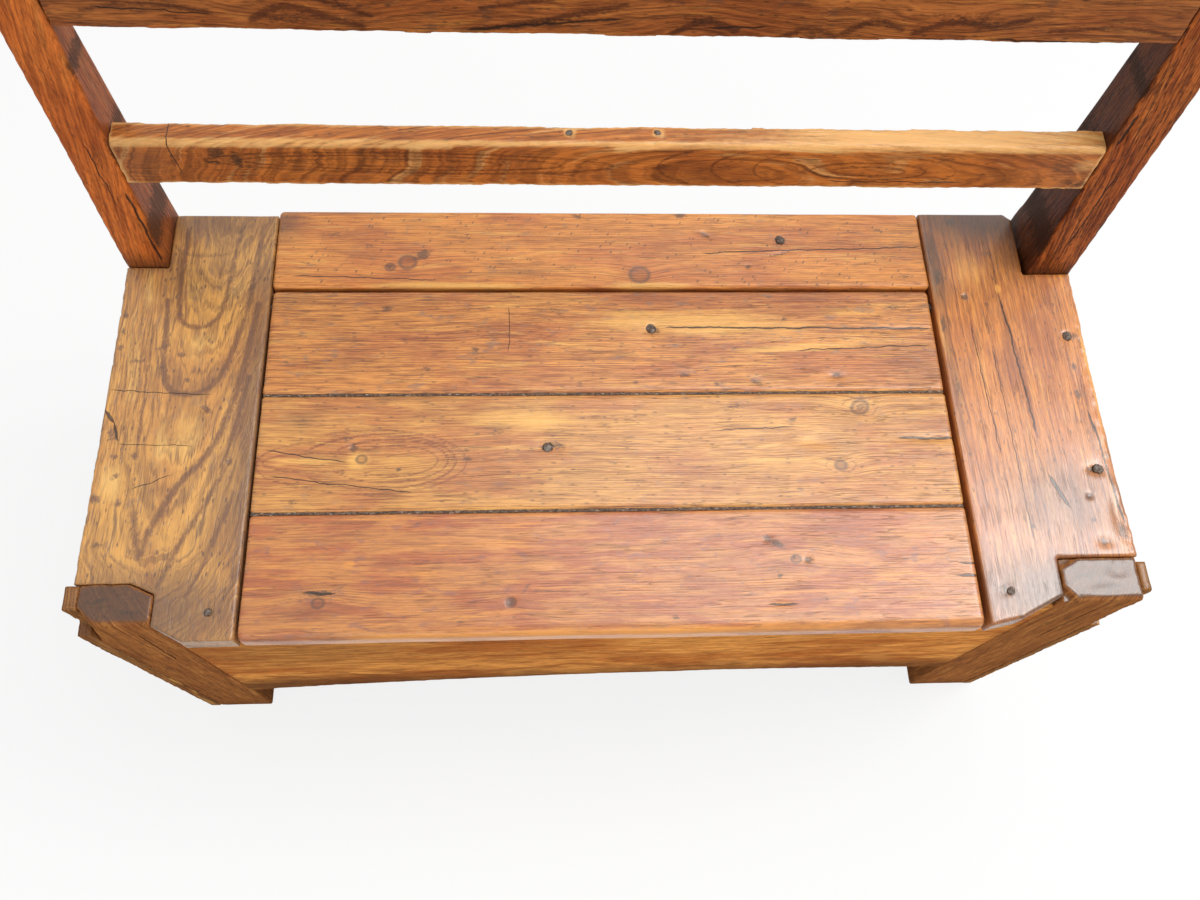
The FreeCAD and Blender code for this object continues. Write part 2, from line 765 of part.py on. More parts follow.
left_front_mid = "left_leg_front + front_board_thick / 2"
right_front_mid = "right_leg_front + front_board_thick / 2"
back_board_mid = "back_board_front + back_board_thick / 2"
right_side_mid = "right_side_inner + side_board_thick / 2"
seat_nail_list = nails("seat_nail", "down", [
    ("rear_nail_x", back_board_mid, "seat_height"),
    ("left_seam - left_end_nail_in", left_front_mid, "seat_height"),
    ("right_seam + right_end_nail_in", right_front_mid, "seat_height"),
    (right_side_mid, "front_edge + side_nail_front", "seat_height"),
    (right_side_mid, "front_edge + side_nail_rear", "seat_height"),
], "seat_nail_long")
seat_nails = node("seat_nails", group("seat_nail_group", seat_nail_list))

lid_nail_list = nails("lid_nail", "down", [
    ("centre_cleat_left + centre_cleat_width - centre_nail_right", "lid_rear - lid_nail_rear", "seat_height"),
    ("centre_cleat_left + centre_nail_left", "front_joint + lid_nail_middle", "seat_height"),
], "lid_nail_long")
lid_nails = node("lid_nails", group("lid_nail_group", lid_nail_list))


# Lid cleats and their nails, driven from inside the box

def make_cleat(name, left, right):
    blank = box(name + "_blank", (left, "cleat_front", "cleat_under"), (right, "cleat_rear", "under_seat"))
    doc.recompute()
    bevel = size("cleat_bevel")
    made = doc.addObject("Part::Chamfer", name + "_bevelled")
    made.Base = blank
    numbered = enumerate(blank.Shape.Edges, 1)
    made.Edges = [(n, bevel, bevel) for n, e in numbered if at_bottom(e, blank.Shape.BoundBox)]
    return made


CLEATS = {
    "left_lid_cleat": ("lid_left + cleat_inset", "lid_left + cleat_inset + cleat_width"),
    "centre_lid_cleat": ("centre_cleat_left", "centre_cleat_left + centre_cleat_width"),
    "right_lid_cleat": ("lid_right - cleat_inset - cleat_width", "lid_right - cleat_inset"),
}
cleat_blanks = {name: make_cleat(name, *ends) for name, ends in CLEATS.items()}

PLANK_NAIL_LINES = (
    "front_joint - 2 * nail_edge", "front_joint - nail_edge", "front_joint + nail_edge",
    "rear_joint - nail_edge", "rear_joint + nail_edge", "cleat_rear - nail_edge",
)
cleat_nail_places = [(cleat_left + " + cleat_width * " + share, y, "cleat_under")
                     for cleat_left in (CLEATS["left_lid_cleat"][0], CLEATS["right_lid_cleat"][0])
                     for share, y in zip(("0.3", "0.7") * 3, PLANK_NAIL_LINES)]
cleat_nail_places += [("centre_cleat_left + centre_cleat_width * " + share, PLANK_NAIL_LINES[0],
                       "cleat_under") for share in ("0.25", "0.75")]
cleat_nail_list = nails("cleat_nail", "up", cleat_nail_places, "cleat_nail_long", "small_head_width")
cleat_nails = node("cleat_nails", group("cleat_nail_group", cleat_nail_list))

for name, blank in cleat_blanks.items():
    node(name, cut(name + "_nailed", blank, cleat_nails, lid_nails))
node("lid_rear_plank", cut("lid_rear_plank_bored", lid_bodies["lid_rear_plank"], left_lid_bore,
                           right_lid_bore, lid_nails, cleat_nails))
node("lid_middle_plank", cut("lid_middle_plank_nailed", lid_bodies["lid_middle_plank"], lid_nails,
                             cleat_nails))
node("lid_front_plank", cut("lid_front_plank_nailed", lid_bodies["lid_front_plank"], cleat_nails))


# Bearers under the end boards, hollowed where the rear edge of the lid swings

swing = doc.addObject("Part::Cylinder", "lid_swing")
swing_radius = "sqrt(2) * (board_thick / 2 - arris_round) + arris_round + swing_clearance"
swing.setExpression("Radius", bound(swing_radius))
swing.setExpression("Height", bound("seat_width"))
swing.Placement = FreeCAD.Placement(FreeCAD.Vector(), FreeCAD.Rotation(FreeCAD.Vector(0, 1, 0), 90))
for axis, value in zip("xyz", ("left_edge", "pivot_y", "pivot_z")):
    swing.setExpression("Placement.Base." + axis, bound(value))


def make_bearer(side):
    inner = "left_seam + bearer_lap" if side == "left" else "right_seam - bearer_lap"
    outer = inner + (" - bearer_width" if side == "left" else " + bearer_width")
    left_x, right_x = (outer, inner) if side == "left" else (inner, outer)
    blank = box(side + "_bearer_blank",
                (left_x, side + "_leg_front + front_board_thick / 2", "under_seat - bearer_deep"),
                (right_x, back_board_mid, "under_seat"))
    return cut(side + "_bearer_fitted", blank, front_board_blank, back_board_blank, swing)


bearer_blanks = {side: make_bearer(side) for side in ("left", "right")}
bearer_nail_places = [(x, y, "under_seat - bearer_deep")
                      for x in ("left_seam - nail_edge * 0.7", "right_seam + nail_edge * 0.7")
                      for y in ("cleat_front + 2 * nail_edge", "cleat_rear - 2 * nail_edge")]
bearer_nail_list = nails("bearer_nail", "up", bearer_nail_places, "cleat_nail_long", "small_head_width")
bearer_nails = node("bearer_nails", group("bearer_nail_group", bearer_nail_list))
for side, blank in bearer_blanks.items():
    node(side + "_seat_bearer", cut(side + "_bearer_nailed", blank, bearer_nails))
node("left_end_board", cut("left_end_board_bored", left_end_body, left_board_bore, seat_nails, bearer_nails))
node("right_end_board", cut("right_end_board_bored", right_end_body, right_board_bore, seat_nails,
                            bearer_nails))
node("rear_seat_plank", cut("rear_plank_nailed", rear_plank_body, seat_nails))


# Floor of the box: three boards on two ledgers, tied by a batten

def make_ledger(side):
    wall = side + "_side_inner"
    free = wall + (" + ledger_width" if side == "left" else " - ledger_width")
    left_x, right_x = (wall, free) if side == "left" else (free, wall)
    return box(side + "_ledger_blank", (left_x, side + "_leg_rear", "ledger_under"),
               (right_x, side + "_post_front", "floor_level"))


FLOOR = [
    ("front_floor_board", "front_edge + left_leg_set + front_board_thick / 2", "front_floor_joint"),
    ("middle_floor_board", "front_floor_joint + floor_gap", "rear_floor_joint"),
    ("rear_floor_board", "rear_floor_joint + floor_gap", back_board_mid),
]


def leg_zone(side):
    outer, inner = side + "_leg_outer", side + "_leg_inner"
    low, high = (outer, inner) if side == "left" else (inner, outer)
    return box(side + "_leg_zone", (low, side + "_leg_front", "0"),
               (high, side + "_leg_rear", "seat_height"))


def post_zone(side):
    low = "left_edge" if side == "left" else "right_post_inner"
    high = "left_post_inner" if side == "left" else "right_edge"
    return box(side + "_post_zone", (low, side + "_post_front", "0"), (high, "rear_edge", "seat_height"))


def board_nail_lines(side):
    """Two nails through each floor board into the ledger on one side."""
    return ["{}_leg_rear + nail_edge".format(side), "front_floor_joint - nail_edge",
            "front_floor_joint + nail_edge", "rear_floor_joint - nail_edge",
            "rear_floor_joint + nail_edge", "{}_post_front - nail_edge".format(side)]


floor_nail_places = [(x, y, "floor_level + floor_thick")
                     for side, x in (("left", "left_side_inner + ledger_width / 2"),
                                     ("right", "right_side_inner - ledger_width / 2"))
                     for y in board_nail_lines(side)]
floor_nail_list = nails("floor_nail", "down", floor_nail_places, "floor_nail_long", "small_head_width")
floor_nails = node("floor_nails", group("floor_nail_group", floor_nail_list))
BATTEN_NAIL_LINES = ("front_floor_joint - 2 * nail_edge", "(front_floor_joint + rear_floor_joint) / 2",
                     "rear_floor_joint + 2 * nail_edge")
batten_nail_places = [("0", y, "floor_level - batten_deep") for y in BATTEN_NAIL_LINES]
batten_nail_list = nails("batten_nail", "up", batten_nail_places,
                         "batten_deep + floor_thick - nail_end_cover", "small_head_width")
batten_nails = node("batten_nails", group("batten_nail_group", batten_nail_list))

zones = [leg_zone(side) for side in ("left", "right")] + [post_zone(side) for side in ("left", "right")]
for name, front, rear in FLOOR:
    blank = box(name + "_blank", ("left_side_inner", front, "floor_level"),
                ("right_side_inner", rear, "floor_level + floor_thick"))
    tools = {"front_floor_board": [front_board_blank] + zones[:2],
             "middle_floor_board": [],
             "rear_floor_board": [back_board_blank] + zones[2:]}[name]
    node(name, cut(name + "_fitted", blank, *tools, floor_nails, batten_nails))
for side in ("left", "right"):
    node(side + "_floor_ledger", cut(side + "_ledger_nailed", make_ledger(side), floor_nails))
batten_front = "front_edge + right_leg_set + front_board_thick + batten_short"
batten = box("batten_blank", ("-batten_width / 2", batten_front, "floor_level - batten_deep"),
             ("batten_width / 2", "back_board_front - batten_short", "floor_level"))
node("floor_batten", cut("batten_nailed", batten, batten_nails))


# Legs, strips, posts, rails and boards in their final shape

for side in ("left", "right"):
    node(side + "_front_leg", cut(side + "_leg_nailed", make_leg(side), strip_nails))
    node(side + "_leg_strip", cut(side + "_strip_nailed", make_strip(side), strip_nails))
    node(side + "_back_post", make_post(side))


def rail_top(x):
    """Height of the mid rail's upper edge at x."""
    return ("seat_height + mid_rail_lift + mid_rail_height + rail_rise * ({} - left_post_inner)"
            " / (right_post_inner - left_post_inner)").format(x)


rail_nail_y = "({} + {}) / 2 + mid_rail_thick * 0.7".format(
    raked("left", "mid_rail_lift + mid_rail_height"), raked("right", "mid_rail_lift + mid_rail_height"))
rail_nail_list = nails("rail_nail", "down", [
    ("rail_nail_left", rail_nail_y, rail_top("rail_nail_left")),
    ("rail_nail_right", rail_nail_y, rail_top("rail_nail_right")),
], "rail_nail_long", "small_head_width")
mid_rail_nails = node("mid_rail_nails", group("rail_nail_group", rail_nail_list))
node("mid_rail", cut("mid_rail_nailed", mid_rail_blank, mid_rail_nails))
node("front_board", cut("front_board_nailed", front_board_blank, seat_nails))
node("back_board", cut("back_board_nailed", back_board_blank, seat_nails))
node("left_side_board", side_boards["left"])
node("right_side_board", cut("right_side_board_nailed", side_boards["right"], seat_nails))

doc.recompute()

problems = ["%s: %s" % (o.Name, ", ".join(o.State)) for o in doc.Objects
            if "Invalid" in o.State or "Error" in o.State]
for made in NODES:
    shape = made.Shape
    if shape.isNull() or not shape.isValid() or shape.Volume <= 0:
        problems.append(made.Label + ": bad shape")
if problems:
    raise RuntimeError("; ".join(problems))

os.makedirs("parts", exist_ok=True)
for made in NODES:
    made.Shape.exportStep(os.path.join("parts", made.Label + ".step"))
print(len(NODES), "sub-parts written")
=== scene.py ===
import json
import math

import bmesh
import bpy
import numpy as np
from mathutils import Matrix, Vector, kdtree


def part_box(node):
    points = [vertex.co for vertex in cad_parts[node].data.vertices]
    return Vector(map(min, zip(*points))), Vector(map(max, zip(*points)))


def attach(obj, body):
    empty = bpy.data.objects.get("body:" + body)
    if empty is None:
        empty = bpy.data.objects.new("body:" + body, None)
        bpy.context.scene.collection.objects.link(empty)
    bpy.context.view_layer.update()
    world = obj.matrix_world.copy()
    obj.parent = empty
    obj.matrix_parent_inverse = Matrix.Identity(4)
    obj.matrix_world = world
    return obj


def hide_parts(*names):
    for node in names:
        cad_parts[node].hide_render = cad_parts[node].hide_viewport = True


# Settle bench: the worn shapes and waxed finishes of its boards, its wrought nails, the old wax in the joints
# of its lid, the floor, the light and the camera.
# Shapes are in metres. Figures of the grain, marks and finishes are in millimetres on the bench.

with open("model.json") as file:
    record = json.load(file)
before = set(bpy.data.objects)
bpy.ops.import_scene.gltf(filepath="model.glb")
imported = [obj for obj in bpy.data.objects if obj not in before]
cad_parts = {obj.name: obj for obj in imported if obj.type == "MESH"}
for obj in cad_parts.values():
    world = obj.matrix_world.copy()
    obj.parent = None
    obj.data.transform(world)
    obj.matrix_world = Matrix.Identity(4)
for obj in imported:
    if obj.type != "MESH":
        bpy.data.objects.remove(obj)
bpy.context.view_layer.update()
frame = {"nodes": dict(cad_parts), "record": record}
MM = 0.001
BODY_OF = {node: body for body, nodes in frame["record"]["behaviour"]["bodies"].items() for node in nodes}
SLOT_OF = {part["node"]: part["material_slot"] for part in frame["record"]["subparts"]}


# Shader maths

class Value:
    """A number or colour on its way through a finish."""

    def __init__(self, finish, socket):
        self.finish, self.socket = finish, socket

    def maths(self, operation, *others):
        return self.finish.add("Math", {"operation": operation}, *others)

    def __add__(self, other):
        return self.maths("ADD", self, other)

    def __sub__(self, other):
        return self.maths("SUBTRACT", self, other)

    def __rsub__(self, other):
        return self.maths("SUBTRACT", other, self)

    def __mul__(self, other):
        return self.maths("MULTIPLY", self, other)

    def __truediv__(self, other):
        return self.maths("DIVIDE", self, other)

    __radd__ = __add__
    __rmul__ = __mul__

    def part(self):
        return self.maths("FRACT", self)

    def whole(self):
        return self.maths("FLOOR", self)

    def size(self):
        return self.maths("ABSOLUTE", self)

    def root(self):
        return self.maths("SQRT", self)

    def most(self, other):
        return self.maths("MAXIMUM", self, other)

    def step(self, low, high):
        """0 below low, 1 above high and smooth between."""
        ends = {"From Min": low, "From Max": high, "To Min": 0.0, "To Max": 1.0}
        return self.finish.add("MapRange", {"interpolation_type": "SMOOTHSTEP"}, Value=self, **ends)

    def ramp(self, *stops):
        """A number from stops, each (place, number)."""
        return self.finish.add("ValToRGB", {"stops": stops}, Fac=self)


class Finish:
    """A material whose nodes are written as sums."""

    def __init__(self, name, **constants):
        self.material = bpy.data.materials.new(name)
        self.material.use_nodes = True
        self.nodes = self.material.node_tree.nodes
        self.links = self.material.node_tree.links
        self.surface = self.nodes["Principled BSDF"]
        for socket, number in constants.items():
            self.surface.inputs[socket.replace("_", " ")].default_value = number

    def add(self, kind, settings=(), *places, output=0, **sockets):
        """One node: its settings are set first, then its sockets by place or by name."""
        made = self.nodes.new("ShaderNode" + kind)
        for key, value in dict(settings).items():
            if key == "stops":
                self.set_stops(made.color_ramp, value)
            else:
                setattr(made, key, value)
        named = [(made.inputs[i], value) for i, value in enumerate(places)]
        named += [(made.inputs[name.replace("_", " ")], value) for name, value in sockets.items()]
        for socket, value in named:
            self.join(value, socket)
        return Value(self, made.outputs[output])

    def join(self, value, socket):
        if isinstance(value, Value):
            self.links.new(value.socket, socket)
        else:
            socket.default_value = value

    def set_stops(self, ramp, stops):
        ramp.interpolation = "EASE"
        while len(ramp.elements) < len(stops):
            ramp.elements.new(0.5)
        for element, (place, number) in zip(ramp.elements, stops):
            element.position = place
            element.color = (number, number, number, 1)

    def place(self):
        """Where a point is on the bench, in millimetres, as three numbers."""
        point = self.add("TexCoord", output="Object")
        apart = self.add("SeparateXYZ", (), point)
        outputs = apart.socket.node.outputs
        return [Value(self, outputs[axis]) * 1000.0 for axis in "XYZ"]

    def painted(self, name):
        """A number painted on the piece's mesh."""
        return self.add("Attribute", {"attribute_name": name}, output="Fac")

    def point(self, x, y, z):
        return self.add("CombineXYZ", (), x, y, z)

    def noise(self, point, detail=2.0, roughness=0.5):
        """Noise from 0 to 1 whose lumps are about one unit of the point long."""
        return self.add("TexNoise", (), Vector=point, Scale=1.0, Detail=detail, Roughness=roughness)

    def blend(self, share, one, other):
        """A colour between two."""
        node = self.nodes.new("ShaderNodeMix")
        node.data_type = "RGBA"
        for socket, value in ((node.inputs[0], share), (node.inputs[6], one), (node.inputs[7], other)):
            self.join(colour(value), socket)
        return Value(self, node.outputs[2])

    def tone(self, paint, strength):
        """A colour made lighter or darker by a number."""
        return self.add("VectorMath", {"operation": "SCALE"}, paint, Scale=strength)

    def coat(self, paint, roughness, height):
        """Joins colour, roughness and a relief in millimetres to the surface."""
        self.join(paint, self.surface.inputs["Base Color"])
        self.join(roughness, self.surface.inputs["Roughness"])
        relief = self.add("Bump", (), Strength=1.0, Distance=MM, Height=height)
        self.join(relief, self.surface.inputs["Normal"])
        return self.material


def colour(value):
    return (*value, 1.0) if isinstance(value, tuple) and len(value) == 3 else value


# Waxed wood

FINE_RINGS = ((0.0, 0.12), (0.3, 0.0), (0.66, 0.2), (0.86, 1.0), (0.95, 0.75), (1.0, 0.12))
SEAT_TOP = 455.0
PORE_RINGS = ((0.0, 1.0), (0.12, 0.9), (0.2, 0.25), (0.3, 0.0), (0.88, 0.0), (1.0, 1.0))


def crack_line(a, b, wander, start, end, wide):
    """1 along a wandering crack from start to end, in millimetres on the plane of a and b."""
    long = math.dist(start, end)
    run = ((end[0] - start[0]) / long, (end[1] - start[1]) / long)
    ahead = (a - start[0]) * run[0] + (b - start[1]) * run[1]
    aside = (b - start[1]) * run[0] - (a - start[0]) * run[1] + wander
    tip = min(8.0, long / 3)
    inside = ahead.step(-2.0, tip) * (1.0 - ahead.step(long - tip, long + 2.0))
    return (1.0 - aside.size() / (inside * wide + 0.01)).step(0.0, 0.7)


def waxed_wood(name, along, across, pith, ring, gold, red, dark, profile=FINE_RINGS, depths=(), tilt=0.0,
               slope=0.0, curve=0.0, middle=0.0, warp=4.0, warp_long=240.0, warp_wide=45.0, rings=0.8,
               threads=0.5, flecks=0.5, fleck_turn=0.0, blots_and_sheen=0.4, drift=0.6, drift_size=(110.0, 34.0),
               gloss=0.3, shine=0.35, polish=0.5, cracks=(), plane="xy", relief=1.0,
               grime_and_shade=(0.10, 0.058, 0.04), blot_and_sheen=(0.30, 0.17, 0.11), rubbed_and_highlight=(0.92, 0.5, 0.13)):
    """Old waxed wood: the rings of a log round its pith, threads, flecks, stains, rubbed places, and painted
    shade, sheen and highlights.
    """
    f = Finish(name, Coat_Roughness=0.26, Specular_IOR_Level=shine)
    x, y, z = f.place()
    axes = {"x": x, "y": y, "z": z}
    u, v = axes[along], axes[across]
    w = axes[({"x", "y", "z"} - {along, across}).pop()]

    def clouds(long, wide, detail=2.0, roughness=0.5):
        return f.noise(f.point(u / long, v / wide, w / wide), detail, roughness)

    # Rings round the middle of the log, which lies at a slope to the board.
    slow = clouds(warp_long, warp_wide, 2.0)
    side = v - pith[0] - (u - middle) * tilt
    if depths:
        lowest, highest = depths[0][0], depths[-1][0]
        rise = [((at - lowest) / (highest - lowest), depth / 20.0) for at, depth in depths]
        deep = ((u - lowest) / (highest - lowest)).ramp(*rise) * (20.0 * ring) + (w - SEAT_TOP) * 0.6
    else:
        deep = w - pith[1] + (u - middle) * slope - (u - middle) * (u - middle) * curve
    reach = (side * side + deep * deep).root() + (slow - 0.5) * (warp * 2.0)
    reach = reach + (clouds(34.0, 7.0, 1.0) - 0.5) * (ring * 0.55)
    turn = reach / ring + f.painted("swirl")
    own = f.add("TexWhiteNoise", {"noise_dimensions": "1D"}, W=turn.whole())
    patch = clouds(drift_size[0], drift_size[1], 4.0, 0.58)
    ragged = clouds(9.0, 3.2, 3.0, 0.65)
    broken = clouds(38.0, 5.0, 2.0).step(0.3, 0.58)
    band = turn.part().ramp(*profile) * (own * own * 0.85 + 0.2) * (broken * 0.75 + 0.25)

    # Threads follow the rings, and fibres run straight.
    follow = f.noise(f.point(u / 46.0, turn * (ring / 1.5), w / 30.0), 2.0, 0.6)
    thread = follow.step(0.4, 0.64)
    fibre = clouds(13.0, 1.1, 2.0, 0.6).step(0.4, 0.7)
    streak = f.noise(f.point(u / 85.0, turn * (ring / 5.0), w / 40.0), 3.0, 0.6)
    check = (1.0 - (clouds(60.0, 3.4, 1.0) - 0.5).size() * 30.0).most(0.0)
    check = check * clouds(34.0, 13.0, 2.0).step(0.5, 0.62)

    paint = f.blend((patch.step(0.4, 0.62) * drift + (ragged - 0.5) * 0.5).step(0.0, 1.0), gold, red)
    paint = f.blend(streak.step(0.56, 0.68) * 0.55, paint, rubbed_and_highlight)
    paint = f.blend(streak.step(0.5, 0.34) * 0.3, paint, dark)
    paint = f.blend((thread * 0.65 + fibre * 0.5) * threads, paint, dark)
    paint = f.blend(band * rings, paint, dark)

    # Soft grey blots and dark flecks where the wax has sunk in; the grey of the blots is partly painted sheen.
    blotted_and_sheen = clouds(17.0, 8.0, 3.0, 0.6).step(0.55, 0.68) * clouds(95.0, 45.0, 1.0).step(0.38, 0.58)
    paint = f.blend(blotted_and_sheen * blots_and_sheen, paint, blot_and_sheen)
    flat = f.point(u / 10.5, v / 4.4, w / 4.4)
    if fleck_turn:
        c, s = math.cos(math.radians(fleck_turn)), math.sin(math.radians(fleck_turn))
        flat = f.point((u * c + v * s) / 9.0, (v * c - u * s) / 4.2, w / 4.2)
    cell = f.add("TexVoronoi", {"feature": "F1"}, Vector=flat, Scale=1.0, Randomness=1.0)
    outputs = cell.socket.node.outputs
    chance = f.add("SeparateColor", (), Value(f, outputs["Color"]))
    spot = 1.0 - (Value(f, outputs["Distance"]) + (ragged - 0.5) * 0.5).step(0.12, 0.3)
    spot = spot * chance.step(0.5, 0.72) * flecks
    paint = f.blend(spot, paint, grime_and_shade)
    paint = f.blend(check * 0.5, paint, grime_and_shade)

    # What is painted on the mesh: painted shade, stains with some painted shade along the arrises, rubbed
    # places with some painted highlight, knots and lines of dark grain.
    shade, stain, rub, knot = (f.painted(word) for word in ("shade", "stain", "rub", "knot"))
    crumb = clouds(3.4, 1.7, 3.0, 0.7) - 0.5
    stained_and_shaded = (stain + (ragged - 0.5) * 0.8 + crumb * 1.5).step(0.35, 0.85) * stain.step(0.04, 0.25)
    bare_and_highlit = (rub + (streak - 0.5) * 0.9 + (ragged - 0.5) * 0.4).step(0.3, 0.9) * rub.step(0.03, 0.2)
    line = f.painted("line")
    lined = (line * (patch * 1.1 + 0.4) + (ragged - 0.5) * 0.8 + crumb * 1.3).step(0.2, 1.0)
    lined = lined * line.step(0.03, 0.5)
    paint = f.blend(lined * (fibre * -0.3 + 0.85), paint, dark)
    rim = (1.0 - (knot - 0.5).size() * 4.5).most(0.0)
    # Rubbed places are lighter; on some arrises this is a painted highlight.
    paint = f.blend(bare_and_highlit * 0.7, paint, rubbed_and_highlight)
    paint = f.blend(knot.step(0.45, 0.7) * (thread * 0.3 + 0.3), paint, dark)
    paint = f.blend(rim * 0.75, paint, grime_and_shade)
    # Painted shade: the shaded places are darkened towards the grime colour.
    paint = f.blend((shade + (ragged - 0.5) * 0.35 * shade).step(0.0, 1.1) * 0.9, paint, grime_and_shade)
    paint = f.blend(stained_and_shaded * 0.78, paint, grime_and_shade)

    height = (thread * -0.1 - fibre * 0.05 - band * 0.14 - check * 0.35 - spot * 0.22 - rim * 0.12
              - stained_and_shaded * 0.08 + ragged * 0.18 + streak * 0.25) * relief
    rough = ragged * 0.12 + thread * 0.06 + stained_and_shaded * 0.12 + spot * 0.1 - bare_and_highlit * 0.06 + gloss - 0.06
    for start, end, wide in cracks:
        wander = (clouds(16.0, 16.0, 2.0) - 0.5) * 5.0
        line = crack_line(axes[plane[0]], axes[plane[1]], wander, start, end, wide)
        paint = f.blend(line * 0.9, paint, (0.025, 0.015, 0.011))
        height = height - line * 0.9
    f.join(f.painted("sheen") * polish, f.surface.inputs["Coat Weight"])
    return f.coat(paint, rough, height)


# Shaping a board

def select_only(piece):
    bpy.ops.object.select_all(action="DESELECT")
    piece.select_set(True)
    bpy.context.view_layer.objects.active = piece


def apply_modifier(piece, kind, **settings):
    modifier = piece.modifiers.new(kind.lower(), kind)
    for key, value in settings.items():
        setattr(modifier, key, value)
    select_only(piece)
    bpy.ops.object.modifier_apply(modifier=modifier.name)


def lumps(name, scale, depth=2):
    """A cloudy texture whose lumps are about scale long."""
    made = bpy.data.textures.get(name) or bpy.data.textures.new(name, "CLOUDS")
    made.noise_scale = scale
    made.noise_depth = depth
    return made


def arris_tree(mesh):
    """Every arris of a board as points a few millimetres apart, ready to be searched."""
    bm = bmesh.new()
    bm.from_mesh(mesh)
    points = []
    for edge in bm.edges:
        if edge.calc_face_angle(0.0) > math.radians(12):
            a, b = (vertex.co for vertex in edge.verts)
            count = max(1, int((b - a).length / (2 * MM)))
            points += [a.lerp(b, i / count) for i in range(count + 1)]
    bm.free()
    tree = kdtree.KDTree(len(points))
    for i, point in enumerate(points):
        tree.insert(point, i)
    tree.balance()
    return tree


def paint_on(piece, name, numbers):
    """Keeps one number for each vertex, which the finish reads by name."""
    layer = piece.data.attributes.new(name, "FLOAT", "POINT")
    layer.data.foreach_set("value", np.asarray(numbers, np.float32))


def vertex_places(piece):
    places = np.zeros(len(piece.data.vertices) * 3, np.float32)
    piece.data.vertices.foreach_get("co", places)
    return places.reshape(-1, 3).astype(float)


def vertex_normals(piece):
    normals = np.zeros(len(piece.data.vertices) * 3, np.float32)
    piece.data.vertex_normals.foreach_get("vector", normals)
    return normals.reshape(-1, 3).astype(float)


def merged_copy(node, name):
    """A copy of a CAD node whose loose triangles are joined."""
    piece = bpy.data.objects.new(name, frame["nodes"][node].data.copy())
    bpy.context.scene.collection.objects.link(piece)
    piece.data.materials.clear()
    select_only(piece)
    bpy.ops.object.mode_set(mode="EDIT")
    bpy.ops.mesh.select_all(action="SELECT")
    bpy.ops.mesh.remove_doubles(threshold=0.01 * MM)
    bpy.ops.object.mode_set(mode="OBJECT")
    return piece


def cut_corner(piece, through, facing):
    """Saws off what lies beyond a plane and closes the cut; the plane is given in millimetres."""
    select_only(piece)
    bpy.ops.object.mode_set(mode="EDIT")
    bpy.ops.mesh.select_all(action="SELECT")
    bpy.ops.mesh.bisect(plane_co=Vector(through) * MM, plane_no=Vector(facing).normalized(), use_fill=True,
                        clear_outer=True)
    bpy.ops.object.mode_set(mode="OBJECT")


def spot_field(places, plane, spots):
    """The strongest of a list of soft ovals, each (a, b, reach a, reach b, turn, strength) in millimetres."""
    first, second = ("xyz".index(axis) for axis in plane)
    total = np.zeros(len(places))
    for a, b, long, wide, turn, strength in spots:
        c, s = math.cos(math.radians(turn)), math.sin(math.radians(turn))
        over, up = places[:, first] / MM - a, places[:, second] / MM - b
        oval = ((over * c + up * s) / long) ** 2 + ((up * c - over * s) / wide) ** 2
        spot = np.exp(-oval) * strength
        total = np.where(abs(spot) > abs(total), spot, total)
    return total


def eased(points):
    """The points of a line with its corners eased."""
    path = np.array(points, float)
    for _ in range(2):
        a, b = path[:-1], path[1:]
        between = np.stack([a * 0.75 + b * 0.25, a * 0.25 + b * 0.75], 1).reshape(-1, 2)
        path = np.concatenate([path[:1], between, path[-1:]])
    return path


def part_oval(a, b, long, wide, start=-150, end=150):
    """Part of an oval round (a, b), as the rings of a log show round a sloping place."""
    turns = [math.radians(start + (end - start) * i / 12) for i in range(13)]
    return [(a + long * math.cos(turn), b + wide * math.sin(turn)) for turn in turns]


def line_field(places, plane, lines):
    """Lines of dark grain, each (width, strength, points) in millimetres."""
    flat = places[:, ["xyz".index(axis) for axis in plane]] / MM
    total = np.zeros(len(places))
    for wide, strength, points in lines:
        path = eased(points)
        near = np.full(len(places), 1e6)
        for a, b in zip(path[:-1], path[1:]):
            run = b - a
            along = np.clip((flat - a) @ run / (run @ run), 0, 1)
            near = np.minimum(near, ((flat - a - along[:, None] * run) ** 2).sum(axis=1))
        total = np.maximum(total, np.exp(-near / wide ** 2) * strength)
    return total


